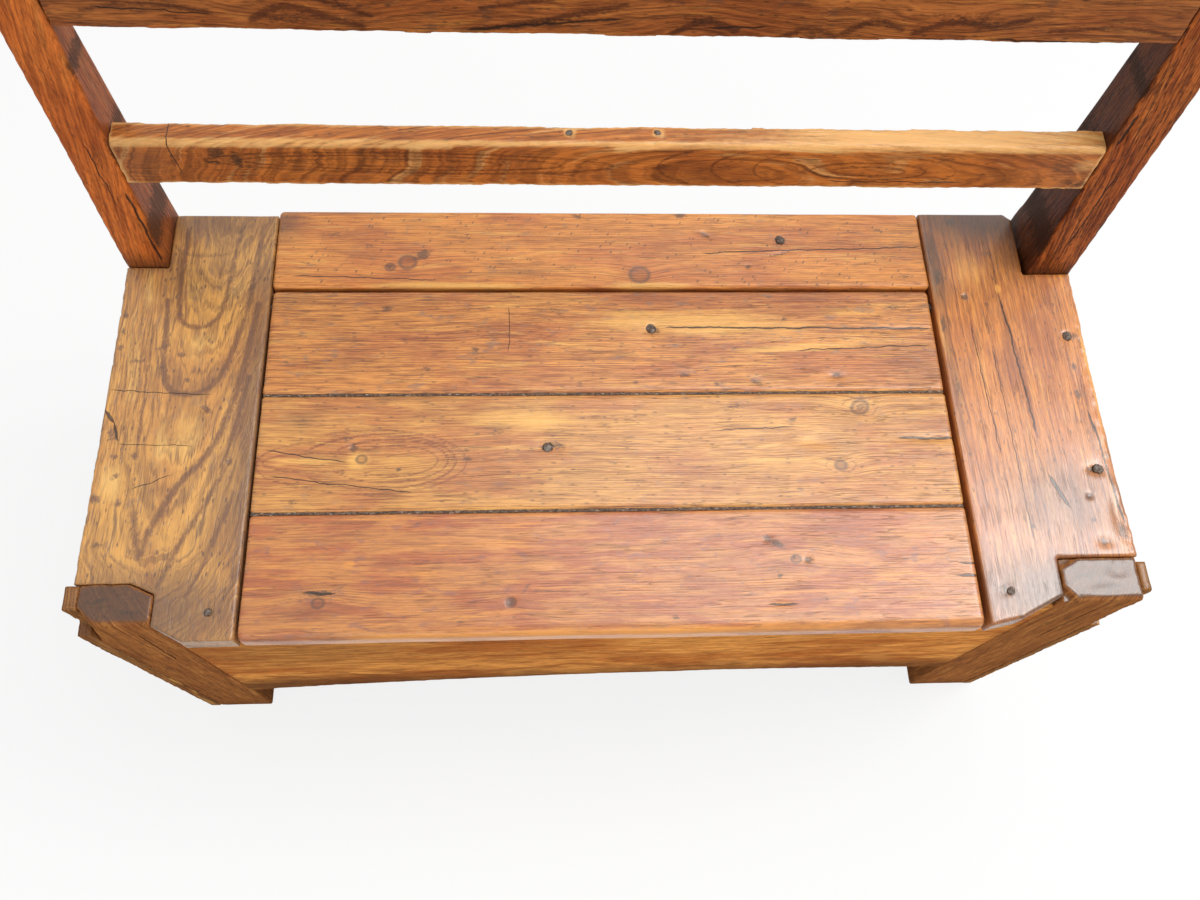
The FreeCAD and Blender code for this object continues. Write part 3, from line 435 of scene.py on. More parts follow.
def worn_board(node, plane="xy", voxel=2.0, wear=1.0, wave=0.5, nick=0.8, cuts=(), dents=(), swirls=(),
               knots=(), stains=(), shades=(), rubs_and_highlights=(), lines=(), edge_rub_and_highlight=0.0, edge_grime_and_shade=0.0, more=None):
    """A fine-meshed stand-in for a board, its arrises worn and its faces hollowed and marked."""
    piece = merged_copy(node, node + "_worn")
    for through, facing in cuts:
        cut_corner(piece, through, facing)
    tree = arris_tree(piece.data)
    apply_modifier(piece, "REMESH", mode="VOXEL", voxel_size=voxel * MM)

    gap = np.array([tree.find(Vector(place))[2] for place in vertex_places(piece)]) / MM
    near = np.exp(-(gap / 5.0) ** 2)
    for group, weights in (("arris", near), ("face", 1 - near)):
        made = piece.vertex_groups.new(name=group)
        steps = np.round(weights * 20).astype(int)
        for level in range(1, 21):
            made.add(np.flatnonzero(steps == level).tolist(), level / 20, "REPLACE")
    for texture, group, strength, middle in (
            (lumps("long_wear", 0.045), "arris", -1.8 * wear, 0.42),
            (lumps("nicks", 0.009, 3), "arris", -1.8 * nick, 0.55),
            (lumps("hollows", 0.11), "face", -2.0 * wave, 0.45)):
        apply_modifier(piece, "DISPLACE", texture=texture, texture_coords="LOCAL", vertex_group=group,
                       strength=strength * MM, mid_level=middle)
    piece.vertex_groups.clear()

    places = vertex_places(piece)
    normals = vertex_normals(piece)
    facing = abs(normals[:, ({0, 1, 2} - {"xyz".index(axis) for axis in plane}).pop()])
    places -= normals * (spot_field(places, plane, dents) * facing * MM)[:, None]
    piece.data.vertices.foreach_set("co", places.astype(np.float32).ravel())

    edge = np.exp(-(gap / 4.5) ** 2)
    level = np.clip((normals[:, 2] - 0.86) / 0.12, 0, 1)
    fields = {"sheen": level, "line": line_field(places, plane, lines),
              "swirl": spot_field(places, plane, swirls), "knot": spot_field(places, plane, knots),
              "shade": spot_field(places, plane, shades),
              # Along the arrises, darkening is partly grime and partly painted shade in the seams, and
              # lightening is wear and, on the mid rail, a painted highlight.
              "stain": np.maximum(spot_field(places, plane, stains), edge * edge_grime_and_shade),
              "rub": np.maximum(spot_field(places, plane, rubs_and_highlights), edge * edge_rub_and_highlight)}
    for name, numbers in (more(places / MM, normals) if more else {}).items():
        fields[name] = np.maximum(fields[name], numbers) if name in fields else numbers
    for name, numbers in fields.items():
        paint_on(piece, name, numbers)
    piece.data.update()
    return finish_piece(piece, node)


def finish_piece(piece, node):
    """Puts a piece in the place of its CAD node."""
    select_only(piece)
    bpy.ops.object.shade_smooth_by_angle(angle=math.radians(50))
    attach(piece, BODY_OF[node])
    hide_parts(node)
    return piece


def dress(piece, material):
    piece.data.materials.clear()
    piece.data.materials.append(material)


# Seat

def rear_seat_plank():
    piece = worn_board(
        "rear_seat_plank", edge_rub_and_highlight=0.5,
        swirls=[(-220, 163, 34, 14, 0, 2.4), (30, 151, 30, 13, 0, 2.8), (104, 202, 36, 10, 0, -1.4)],
        knots=[(-213, 166, 11, 10, 0, 0.9), (-231, 160, 7, 6, 0, 0.8), (30.5, 151, 12, 11, 0, 1.0)],
        stains=[(-198, 176, 10, 7, 20, 1.0), (-231, 160, 4, 4, 0, 0.9), (104, 201, 8, 3, -30, 1.0),
            (-34, 224, 7, 4, 0, 1.0), (79, 226, 9, 4, 0, 1.0), (147, 161, 3, 3, 0, 1.1),
            (182, 177, 14, 2, 14, 0.9), (185, 191, 10, 8, 0, 0.75), (-290, 200, 14, 4, 0, 0.7),
            (-255, 186, 10, 4, 10, 0.7), (318, 150, 14, 6, 0, 0.6), (296, 208, 9, 3, 0, 0.7)],
        shades=[(-342, 214, 22, 24, 0, 0.7), (-262, 176, 40, 12, 0, 0.3), (-98, 154, 66, 6, 4, 0.5),
            (-280, 229, 80, 5, 0, 0.5), (346, 190, 6, 60, 0, 0.5), (60, 180, 90, 30, 0, 0.16)],
        dents=[(147, 161, 2.6, 2.6, 0, 1.8), (104, 201, 8, 2.6, -30, 1.2), (182, 177, 14, 2.4, 14, 1.0),
            (-213, 166, 10, 9, 0, 0.5), (30, 151, 10, 9, 0, 0.6), (185, 192, 12, 9, 0, 0.5)],
        rubs_and_highlights=[(-180, 138, 90, 5, 0, 1.0), (40, 138, 60, 4, 0, 1.0), (250, 140, 90, 4, 0, 0.6)])
    dress(piece, waxed_wood(
        "rear_plank_wax", "x", "y", (10, 405), 2.4, (0.92, 0.37, 0.085), (0.66, 0.20, 0.06),
        (0.22, 0.06, 0.026), rings=0.7, flecks=0.62, fleck_turn=58.0, blots_and_sheen=0.35,
        cracks=[((99, 178), (340, 187), 0.9), ((-330, 150), (-180, 144), 0.6)]))


def lid_rear_plank():
    piece = worn_board(
        "lid_rear_plank", edge_rub_and_highlight=0.3,
        lines=[(1.3, 0.7, part_oval(-100, 87, 46, 16)),
               (1.3, 0.6, part_oval(-106, 87, 66, 24)),
               (1.2, 0.6, part_oval(-98, 87, 24, 7))],
        swirls=[(-107, 86, 62, 26, 0, 2.6), (-107, 84, 24, 11, 0, 1.6), (225, 84, 120, 16, 0, 1.6)],
        stains=[(-232, 110, 7, 4, 0, 0.9), (-141, 62, 5, 4, 0, 0.9), (72, 33, 9, 4, 0, 0.9),
            (104, 22, 6, 3, 0, 0.9), (145, 24, 8, 5, -20, 0.9), (20, 24, 5, 4, 0, 0.7),
            (-36, 22, 6, 4, 0, 0.7), (42, 84, 9, 6, 0, 0.8), (228, 31, 8, 4, 0, 0.9),
            (178, 96, 10, 4, 20, 0.7), (-60, 108, 8, 4, 0, 0.6), (300, 112, 20, 4, 0, 0.7),
            (-300, 60, 8, 5, 0, 0.6), (-190, 40, 10, 5, 0, 0.6)],
        shades=[(-290, 70, 90, 60, 0, 0.22), (-60, 40, 120, 26, 0, 0.12), (312, 44, 50, 34, 0, 0.42),
            (60, 22, 190, 10, 0, 0.22), (-330, 120, 26, 12, 0, 0.5)],
        rubs_and_highlights=[(90, 92, 150, 20, -2, 0.95), (-40, 66, 70, 5, -4, 0.6), (200, 64, 110, 7, 3, 0.8),
            (-160, 120, 120, 5, 0, 0.5), (250, 106, 60, 8, 0, 0.7)],
        dents=[(228, 30, 8, 4, 0, 1.2), (42, 85, 10, 7, 0, 0.8), (300, 84, 44, 3, 1, 0.9),
            (145, 24, 7, 5, 0, 0.7), (72, 33, 7, 4, 0, 0.6)])
    dress(piece, waxed_wood(
        "lid_rear_wax", "x", "y", (235, 400), 2.2, (0.80, 0.34, 0.09), (0.54, 0.17, 0.06),
        (0.18, 0.05, 0.028), rings=0.85, threads=0.65, blots_and_sheen=0.7, relief=1.3,
        cracks=[((54, 87), (336, 86), 1.2), ((-107, 112), (-107, 58), 0.5), ((190, 60), (330, 66), 0.8)]))


def lid_middle_plank():
    piece = worn_board(
        "lid_middle_plank", nick=1.0, edge_rub_and_highlight=0.3,
        lines=[(1.3, 0.9, part_oval(-216, -59, 42, 16)),
               (1.3, 0.9, part_oval(-222, -59, 58, 23)),
               (1.6, 0.9, part_oval(-232, -60, 76, 29)),
               (1.3, 0.8, part_oval(-238, -60, 92, 34, -120, 120)),
               (1.6, 0.8, part_oval(-290, -60, 52, 10, 60, 300)),
               (1.4, 0.8, part_oval(-282, -62, 66, 24, 100, 260)),
               (1.3, 0.8, part_oval(220, -68, 15, 8, -170, 170)),
               (1.3, 0.8, part_oval(247, -5, 18, 11, -170, 170))],
        swirls=[(-240, -58, 92, 30, 0, 4.4), (-214, -59, 46, 18, 0, 3.2), (-300, -62, 50, 12, 0, 1.6),
            (247, -6, 26, 15, 0, 3.4), (220, -68, 22, 13, 0, 3.2), (60, -50, 130, 24, 0, 1.5)],
        knots=[(247, -5, 11, 9, 30, 0.95), (220, -68, 9, 8, 0, 0.7), (-248, -57, 7, 6, 0, 0.8)],
        stains=[(-212, -68, 2.6, 2.6, 0, 1.1), (247, -5, 7, 6, 30, 0.75), (177, -18, 8, 3, 20, 0.8),
            (-256, -45, 5, 5, 40, 1.0), (-262, -36, 6, 4, 30, 0.8), (-146, -58, 6, 3, 0, 0.9),
            (-120, -30, 9, 5, 0, 0.7), (-60, -44, 14, 5, -12, 0.85), (320, -58, 10, 4, 0, 0.6),
            (-310, -100, 7, 4, 0, 0.7), (120, -4, 20, 4, 0, 0.6), (30, -96, 12, 3, 0, 0.5)],
        shades=[(-310, -14, 26, 12, 0, 0.5), (231, -46, 22, 10, 0, 0.35), (-70, -76, 120, 26, 0, 0.16),
            (300, -30, 60, 30, 0, 0.22), (-130, -24, 60, 10, 0, 0.25)],
        rubs_and_highlights=[(-252, -58, 14, 12, 0, 1.0), (-300, -58, 46, 5, 0, 0.9), (-90, -16, 70, 18, 0, 0.9),
            (-212, -60, 40, 14, 0, 0.5), (120, -64, 130, 8, 0, 0.6), (190, -40, 22, 6, 0, 0.8)],
        dents=[(-256, -44, 5, 6, 40, 0.8), (200, -42, 18, 6, 0, 0.9), (318, -40, 30, 4, 0, 1.4),
            (-68, -46, 14, 6, 0, 0.7), (-310, -30, 34, 10, 0, 0.6), (247, -5, 10, 8, 30, 0.5)])
    dress(piece, waxed_wood(
        "lid_middle_wax", "x", "y", (-235, 400), 2.2, (0.76, 0.37, 0.10), (0.56, 0.19, 0.065),
        (0.22, 0.07, 0.035), rings=0.8, threads=0.55, blots_and_sheen=0.35, relief=1.3,
        cracks=[((281, -39), (340, -40), 1.6), ((-340, -47), (-262, -60), 0.7),
            ((-335, -74), (-200, -92), 0.6), ((100, -30), (176, -26), 0.7)]))


def lid_front_plank():
    piece = worn_board(
        "lid_front_plank", wear=0.8, nick=0.6, edge_rub_and_highlight=0.45,
        swirls=[(164, -156, 44, 15, 0, 3.0), (-279, -194, 36, 12, 0, 2.4), (-104, -200, 20, 9, 0, 2.0)],
        knots=[(-279, -198, 7, 6, 0, 0.9), (165, -163, 6, 5, 0, 0.9), (-104, -200, 6, 6, 0, 0.8)],
        stains=[(-279, -189, 15, 3, 0, 1.1), (-104, -200, 4, 4, 0, 1.0), (-90, -187, 9, 3, 55, 0.6),
            (139.5, -142.5, 5, 4, 0, 1.2), (149, -148, 9, 3.5, -35, 1.1), (163, -162, 3, 3, 0, 1.0),
            (177, -164, 5, 4, 0, 1.1), (148, -179, 3.4, 2.6, 0, 1.2), (47, -217, 4, 3, 0, 0.9),
            (190, -203, 2, 4, 0, 0.8), (-30, -150, 7, 3, 0, 0.5)],
        shades=[(-310, -205, 60, 30, 0, 0.3), (-240, -226, 130, 7, 0, 0.3), (120, -140, 50, 6, -6, 0.25),
            (330, -150, 20, 40, 0, 0.2)],
        rubs_and_highlights=[(-60, -229, 330, 5, 0, 0.9), (148, -206, 17, 2, 0, 0.9), (-253, -162, 9, 5, 0, 0.8)],
        dents=[(-279, -189, 14, 3, 0, 1.2), (148, -206, 17, 2.2, 0, 1.1), (141, -143, 6, 4, 0, 1.4),
            (177, -164, 5, 4, 0, 1.2), (-104, -200, 4, 3, 0, 1.0)])
    dress(piece, waxed_wood(
        "lid_front_wax", "x", "y", (-20, 400), 2.3, (0.68, 0.28, 0.085), (0.50, 0.15, 0.06),
        (0.19, 0.06, 0.035), rings=0.6, threads=0.45, flecks=0.2, blots_and_sheen=0.55, drift=0.75,
        drift_size=(70.0, 16.0), blot_and_sheen=(0.27, 0.125, 0.105), gloss=0.25, relief=1.0,
        rubbed_and_highlight=(0.88, 0.36, 0.07),
        cracks=[((134, -206), (163, -206), 1.6), ((-294, -188), (-264, -189), 1.8),
            ((318, -182), (340, -182), 2.0), ((322, -170), (340, -169), 1.4)]))


# Which ring of the log lies under the surface, at places along the board.
LEFT_END_RINGS = ((-232, 15.3), (-200, 14.0), (-172, 13.0), (-140, 12.0), (14, 11.0), (89, 10.0), (175, 9.0),
                  (232, 8.4))


def left_end_board():
    piece = worn_board(
        "left_end_board", voxel=1.6, wear=0.9, nick=1.0, edge_grime_and_shade=0.2,
        lines=[(3.6, 1.0, [(-443, 205), (-443, 150), (-441, 110), (-436, 93), (-420, 87), (-404, 92),
                   (-396, 112), (-393, 150), (-388, 205)]),
               (3.8, 1.0, [(-453, 120), (-450, 80), (-448, 40), (-441, 18), (-420, 12), (-398, 20),
                   (-386, 45), (-378, 80), (-371, 120), (-366, 190)]),
               (2.2, 0.8, [(-463, 90), (-462, 20), (-461, -40), (-459, -90), (-452, -122)]),
               (5.5, 1.0, [(-455, -110), (-452, -126), (-444, -150)]),
               (4.4, 1.0, [(-444, -152), (-440, -128), (-418, -80), (-404, -64), (-388, -41), (-377, -1),
                   (-370, 32), (-362, 115)]),
               (3.8, 1.0, [(-424, -180), (-405, -128), (-382, -85), (-373, -35), (-363, 32)]),
               (3.0, 0.9, [(-398, -190), (-382, -151), (-366, -90)]),
               (3.0, 0.7, part_oval(-420, 186, 34, 13, 180, 360)),
               (1.8, 0.6, [(-436, 205), (-434, 150), (-430, 112), (-420, 104), (-410, 112), (-404, 150),
                   (-400, 205)]),
               (2.0, 0.6, [(-476, 120), (-474, 20), (-476, -100)]),
               (2.0, 0.6, [(-470, 60), (-468, -20), (-466, -90)])],
        stains=[(-423, 29, 4, 4, 0, 1.0), (-432, 57, 5, 4, 0, 0.9), (-452, 65, 9, 3, 20, 0.9),
            (-450, 43, 4, 4, 0, 0.9), (-475, 50, 12, 4, 10, 0.7), (-402, -2, 8, 3, -40, 1.1),
            (-372.7, -58.7, 4, 4, 0, 1.0), (-463, -51, 5, 5, 0, 0.8), (-493, -95, 6, 6, 0, 1.0),
            (-492, 102, 3, 5, 0, 1.0), (-492, 84, 3, 5, 0, 1.0), (-492, 66, 4, 5, 0, 1.0),
            (-478, -72, 6, 4, 30, 0.8), (-470, -100, 5, 4, 0, 0.8), (-484, -140, 6, 4, 0, 0.9),
            (-487, -28, 5, 10, 30, 0.8), (-480, -52, 6, 3, 0, 0.8), (-365, -204, 4, 4, 0, 0.6),
            (-440, 104, 5, 4, 0, 0.6)],
        shades=[(-420, 218, 100, 34, 0, 0.7), (-420, 150, 80, 60, 0, 0.32), (-470, 166, 40, 20, 0, 0.6),
            (-354, -20, 22, 250, 0, 0.8), (-372, -110, 20, 70, 3, 0.6), (-355, 130, 16, 110, 0, 0.35),
            (-430, -205, 110, 46, 0, 0.9), (-380, -140, 30, 60, 0, 0.4), (-456, -120, 9, 34, -8, 0.4),
            (-430, 175, 44, 6, 0, 0.4)],
        rubs_and_highlights=[(-440, -60, 14, 80, 0, 0.5), (-480, -78, 14, 26, 0, 0.9), (-418, -20, 20, 30, 0, 0.6),
            (-470, 130, 14, 30, 0, 0.6), (-418, 60, 16, 26, 0, 0.5)],
        dents=[(-476, -74, 8, 20, 15, 1.0), (-402, -2, 7, 2.6, -40, 1.2), (-487, -14, 4, 12, 30, 2.0),
            (-490, -110, 7, 10, 0, 1.2), (-372.7, -58.7, 3, 3, 0, 1.0), (-430, 176, 50, 12, 0, 0.6),
            (-466, -96, 7, 6, 0, 0.8), (-376, -204, 5, 5, 0, 0.8)])
    dress(piece, waxed_wood(
        "left_end_wax", "y", "x", (-420, 0), 7.4, (0.80, 0.41, 0.11), (0.58, 0.25, 0.075),
        (0.17, 0.08, 0.048), profile=PORE_RINGS, depths=LEFT_END_RINGS, tilt=0.1, warp=1.6,
        warp_long=150.0, warp_wide=70.0, rings=0.45, threads=0.7, blots_and_sheen=0.5, flecks=0.75, drift=0.55,
        rubbed_and_highlight=(0.88, 0.52, 0.16), grime_and_shade=(0.15, 0.08, 0.054), blot_and_sheen=(0.3, 0.17, 0.11),
        cracks=[((-498, -3), (-487, -16), 2.4), ((-487, -16), (-480, -36), 1.8),
            ((-495, 18), (-398, 13), 0.5), ((-462, -86), (-425, -71), 0.5),
            ((-480, -39), (-410, -41), 0.4)]))


def right_end_board():
    piece = worn_board(
        "right_end_board", wear=0.9, nick=1.0, edge_grime_and_shade=0.2,
        lines=[(1.8, 0.9, [(415, 128), (420, 80), (424, 30), (425, -40)]),
               (1.4, 0.8, [(397, 100), (400, 0), (403, -130)]),
               (1.4, 0.8, [(378, 92), (382, 0), (384, -96)]),
               (1.6, 0.8, [(408, 60), (412, -40), (408, -150)]),
               (1.2, 0.7, [(436, 90), (440, 0), (446, -60)]),
               (1.4, 0.7, [(366, 140), (370, 20), (372, -120)]),
               (1.4, 0.8, [(470, 120), (476, 30), (484, -90)])],
        stains=[(378, 124, 5, 5, 0, 1.1), (378, 219, 6, 6, 0, 1.1), (474, -75, 7, 4, 0, 1.1),
            (487, 76, 6, 6, 0, 0.8), (402, -134, 3, 3, 0, 1.1), (465, -103, 3.4, 3.4, 0, 1.2),
            (464, -128, 3, 3, 0, 1.1), (363, -196, 7, 7, 0, 0.8), (412, 178, 12, 7, 0, 0.6),
            (477, 8, 4, 7, 0, 0.9), (486, -30, 4, 6, 0, 0.9), (480, 40, 3, 6, 0, 0.9),
            (492, -60, 4, 8, 0, 0.8), (490, -140, 6, 12, 0, 0.9), (470, -150, 8, 5, 0, 0.8),
            (352, 150, 5, 14, 0, 0.9), (350, 90, 5, 14, 0, 0.8), (352, 20, 4, 20, 0, 0.7),
            (352, -60, 4, 14, 0, 0.6)],
        shades=[(410, 226, 100, 34, 0, 1.05), (350, 170, 12, 70, 0, 0.85), (446, 214, 40, 36, 0, 0.9),
            (350, 40, 7, 120, 0, 0.55), (440, 190, 26, 40, 0, 0.55), (416, 80, 6, 70, 2, 0.35),
            (397, 0, 3, 120, 0, 0.2), (420, -200, 110, 50, 0, 1.0), (440, -110, 80, 60, 0, 0.7)],
        rubs_and_highlights=[(392, 158, 26, 34, 0, 0.7), (416, 134, 4, 6, 0, 1.1), (495, 30, 5, 90, 0, 0.9),
            (440, 20, 26, 60, 0, 0.4)],
        dents=[(474, -75, 6, 4, 0, 1.4), (490, -125, 6, 20, 0, 1.4), (363, -196, 9, 8, 0, 0.9),
            (470, -150, 9, 6, 0, 1.2), (480, 10, 8, 30, 0, 0.8), (378, 124, 4, 4, 0, 1.0),
            (465, -103, 3, 3, 0, 1.2)])
    dress(piece, waxed_wood(
        "right_end_wax", "y", "x", (300, 400), 5.0, (0.74, 0.28, 0.07), (0.50, 0.16, 0.05),
        (0.18, 0.058, 0.03), slope=0.02, warp=4.0, warp_long=200.0, warp_wide=60.0, rings=0.8,
        threads=0.6, flecks=0.5, blots_and_sheen=0.2, gloss=0.24, polish=0.8, grime_and_shade=(0.075, 0.045, 0.03),
        rubbed_and_highlight=(0.90, 0.42, 0.10),
        cracks=[((428, -80), (442, -116), 2.6), ((416, 122), (425, -35), 1.1),
            ((397, 60), (400, -150), 0.5), ((378, 90), (384, -60), 0.5), ((484, -10), (494, -130), 1.2)]))


# Back

def top_rail():
    piece = worn_board(
        "top_rail", plane="xz", voxel=2.2, wear=0.8, edge_rub_and_highlight=0.3,
        lines=[(4.5, 1.0, [(-300, 752), (-272, 768), (-240, 756), (-214, 748)]),
               (3.0, 1.0, [(-270, 776), (-236, 770), (-206, 758)]),
               (3.5, 1.0, [(-134, 746), (-80, 756), (-5, 774)]),
               (2.5, 0.9, [(-120, 768), (-60, 778), (10, 792)]),
               (4.0, 1.0, [(34, 750), (58, 764), (84, 754)]),
               (4.0, 1.0, [(122, 748), (144, 761), (166, 751)]),
               (4.0, 1.0, [(172, 754), (195, 769), (219, 759)]),
               (4.0, 1.0, [(230, 756), (260, 770), (290, 762), (320, 771)]),
               (2.5, 0.9, [(340, 760), (400, 768), (450, 758)]),
               (3.0, 0.9, [(-430, 756), (-390, 766), (-330, 758)])],
        stains=[(-270, 755, 32, 10, 6, 0.60), (-225, 768, 22, 7, 0, 0.54), (-70, 756, 60, 6, 8, 0.66),
            (58, 762, 26, 8, 0, 0.60), (144, 750, 24, 7, 0, 0.60), (195, 762, 24, 6, 6, 0.60),
            (272, 770, 46, 7, -6, 0.60), (-150, 800, 60, 9, 6, 0.54), (60, 812, 80, 9, -4, 0.54),
            (260, 806, 50, 10, 0, 0.54), (400, 800, 50, 12, 0, 0.48), (-380, 800, 40, 9, 0, 0.48)],
        shades=[(430, 790, 60, 50, 0, 0.3)],
        swirls=[(-240, 760, 70, 20, 0, 2.4), (60, 762, 60, 18, 0, -2.6), (250, 765, 60, 16, 0, 2.4)],
        rubs_and_highlights=[(0, 746, 420, 4, 0, 0.6), (0, 838, 500, 6, 0, 0.9)])
    dress(piece, waxed_wood(
        "top_rail_wax", "x", "z", (690, 130), 5.0, (0.52, 0.17, 0.04), (0.34, 0.085, 0.02),
        (0.075, 0.022, 0.010), warp=9.0, warp_long=130.0, warp_wide=34.0, rings=0.8, threads=0.7,
        blots_and_sheen=0.55, blot_and_sheen=(0.10, 0.05, 0.03), flecks=0.5, shine=0.08, gloss=0.34, plane="xz",
        grime_and_shade=(0.05, 0.022, 0.012), rubbed_and_highlight=(0.74, 0.30, 0.06),
        cracks=[((-132, 748), (-7, 762), 1.4), ((60, 756), (110, 757), 1.2),
            ((300, 752), (440, 750), 1.0), ((-420, 760), (-330, 756), 0.8)]))


def mid_rail():
    piece = worn_board(
        "mid_rail", plane="xz", voxel=1.8, wear=0.9, nick=0.9, edge_rub_and_highlight=0.8,
        lines=[(1.8, 0.9, part_oval(-190, 603, 190, 13, -175, 175)),
               (1.6, 0.9, part_oval(-200, 603, 150, 9, -175, 175)),
               (1.5, 0.8, part_oval(-205, 603, 100, 4.5, -175, 175)),
               (1.8, 0.9, part_oval(236, 602, 56, 11, -178, 178)),
               (1.5, 0.9, part_oval(236, 602, 36, 5.5, -178, 178)),
               (1.8, 0.9, part_oval(120, 603, 84, 26, 130, 230)),
               (1.6, 0.9, part_oval(160, 603, 74, 25, 125, 235)),
               (1.6, 0.9, part_oval(196, 603, 70, 24, 125, 235)),
               (1.6, 0.8, part_oval(236, 602, 84, 19, -60, 60))],
        stains=[(-366, 612, 10, 7, 30, 1.1), (-350, 604, 6, 12, 0, 1.0), (-372, 600, 12, 4, 0, 0.8),
            (-47, 633, 9, 5, 0, 0.8), (440, 590, 20, 8, 0, 0.7), (-408, 604, 2, 20, 0, 0.7)],
        shades=[(-440, 604, 40, 40, 0, 0.42)],
        swirls=[(-190, 600, 190, 20, 0, 2.0), (236, 602, 70, 13, 0, 2.4)],
        # The rubbed top arris is partly worn wood and partly a painted highlight.
        rubs_and_highlights=[(150, 633, 420, 4, 0, 1.1), (440, 612, 20, 12, 0, 0.7)],
        dents=[(-47, 633, 7, 4, 0, 1.4), (440, 604, 12, 8, 0, 0.5)])
    dress(piece, waxed_wood(
        "mid_rail_wax", "x", "z", (600, 150), 4.2, (0.68, 0.22, 0.042), (0.46, 0.125, 0.028),
        (0.11, 0.032, 0.012), curve=-0.0003, middle=130.0, warp=3.0, warp_long=120.0, warp_wide=60.0,
        rings=0.85, threads=0.6, flecks=0.5, blots_and_sheen=0.35, blot_and_sheen=(0.16, 0.07, 0.03), shine=0.15, gloss=0.3,
        plane="xz", grime_and_shade=(0.06, 0.03, 0.016), rubbed_and_highlight=(0.95, 0.55, 0.2),
        cracks=[((-408, 628), (-404, 584), 0.7), ((200, 588), (330, 590), 0.7)]))


def back_post(side):
    inner, inwards = (-458.5, 1.0) if side == "left" else (452.5, -1.0)

    def dark_inside(places, normals):
        turned = np.clip(normals[:, 0] * inwards, 0, 1) * (0.5 if side == "left" else 0.8)
        foot = np.exp(-((places[:, 2] - 455) / 22) ** 2) * 0.7
        return {"shade": np.maximum(turned, foot)}

    chips = [(inner, 700, 4, 12, 0, 0.9), (inner, 610, 4, 20, 0, 0.8), (inner, 500, 4, 26, 0, 1.0)]
    piece = worn_board(
        side + "_back_post", plane="xz", voxel=2.2, wear=0.9, nick=1.1, edge_rub_and_highlight=0.3, stains=chips,
        dents=[(460, 655, 4, 20, 0, 1.6)] if side == "right" else [(inner, 505, 5, 40, 0, 1.2)],
        more=dark_inside)
    if side == "left":
        finish = waxed_wood(
            "left_post_wax", "z", "x", (-380, 60), 3.4, (0.80, 0.22, 0.04), (0.60, 0.14, 0.028),
            (0.17, 0.036, 0.011), warp=2.4, warp_long=300.0, rings=0.7, threads=0.7, blots_and_sheen=0.3,
            blot_and_sheen=(0.2, 0.07, 0.03), flecks=0.3, shine=0.06, gloss=0.32, plane="xz",
            grime_and_shade=(0.06, 0.03, 0.017), rubbed_and_highlight=(0.66, 0.24, 0.05),
            cracks=[((-464, 560), (-462, 462), 1.6), ((-480, 620), (-478, 540), 0.6)])
    else:
        finish = waxed_wood(
            "right_post_wax", "z", "x", (380, 60), 3.0, (0.58, 0.155, 0.028), (0.38, 0.08, 0.016),
            (0.06, 0.014, 0.006), warp=3.0, warp_long=260.0, rings=0.95, threads=0.9, blots_and_sheen=0.5,
            blot_and_sheen=(0.11, 0.03, 0.014), flecks=0.6, shine=0.06, gloss=0.34, plane="xz",
            grime_and_shade=(0.035, 0.016, 0.01), rubbed_and_highlight=(0.60, 0.20, 0.04),
            cracks=[((460, 677), (459, 637), 2.2), ((478, 600), (476, 500), 0.9)])
    dress(piece, finish)


# Legs and box

# Above this lie the heads of the legs and the tops of the strips.
HEAD_FOOT = STRIP_TOP = 440.0


def front_leg(side):
    left = side == "left"
    head = (-458, -197) if left else (458, -188)

    def dark_ends(places, normals):
        top = np.clip(normals[:, 2], 0, 1) ** 4 * (places[:, 2] > HEAD_FOOT)
        foot = np.exp(-((places[:, 2]) / 30) ** 2) * 0.4
        return {"shade": np.maximum(top * 0.85, foot)}

    cuts = [((-484, -206.5, 452), (-1, -1, 0.26))] if left else []
    piece = worn_board(
        side + "_front_leg", voxel=1.8, wear=1.0, nick=1.1, cuts=cuts, edge_rub_and_highlight=0.35,
        stains=[(head[0] - 16, head[1] + 4, 14, 4, 10, 0.8), (head[0] + 12, head[1] - 6, 16, 3, -6, 0.8)],
        dents=[(head[0], head[1] - 12, 26, 8, 8, 1.2), (head[0] + 18, head[1] + 8, 10, 8, 0, 0.8)],
        more=dark_ends)
    dress(piece, waxed_wood(
        side + "_leg_wax", "z", "x", (head[0] * 0.6, -60), 3.4, (0.44, 0.17, 0.05), (0.32, 0.115, 0.036),
        (0.11, 0.04, 0.02), rings=0.7, threads=0.6, blots_and_sheen=0.45, blot_and_sheen=(0.13, 0.065, 0.04), flecks=0.4,
        shine=0.0, polish=1.0, gloss=0.34, plane="xz", grime_and_shade=(0.07, 0.042, 0.03),
        rubbed_and_highlight=(0.62, 0.28, 0.08),
        cracks=[((head[0] + 8, 420), (head[0] + 6, 300), 0.9)]))


def leg_strip(side):
    def top_only(places, _):
        return {"shade": (places[:, 2] > STRIP_TOP) * 0.25}

    piece = worn_board(
        side + "_leg_strip", plane="yz", voxel=1.5, wear=0.6, wave=0.3, nick=0.9, edge_rub_and_highlight=0.3,
        more=top_only)
    dress(piece, waxed_wood(
        side + "_strip_wax", "z", "y", (-150, 400 if side == "left" else -400), 3.0, (0.40, 0.18, 0.06),
        (0.26, 0.10, 0.035), (0.09, 0.036, 0.018), rings=0.7, threads=0.6, flecks=0.6, shine=0.0,
        plane="yz", grime_and_shade=(0.06, 0.035, 0.022),
        cracks=[((-196, 455), (-198, 400), 1.6)]))


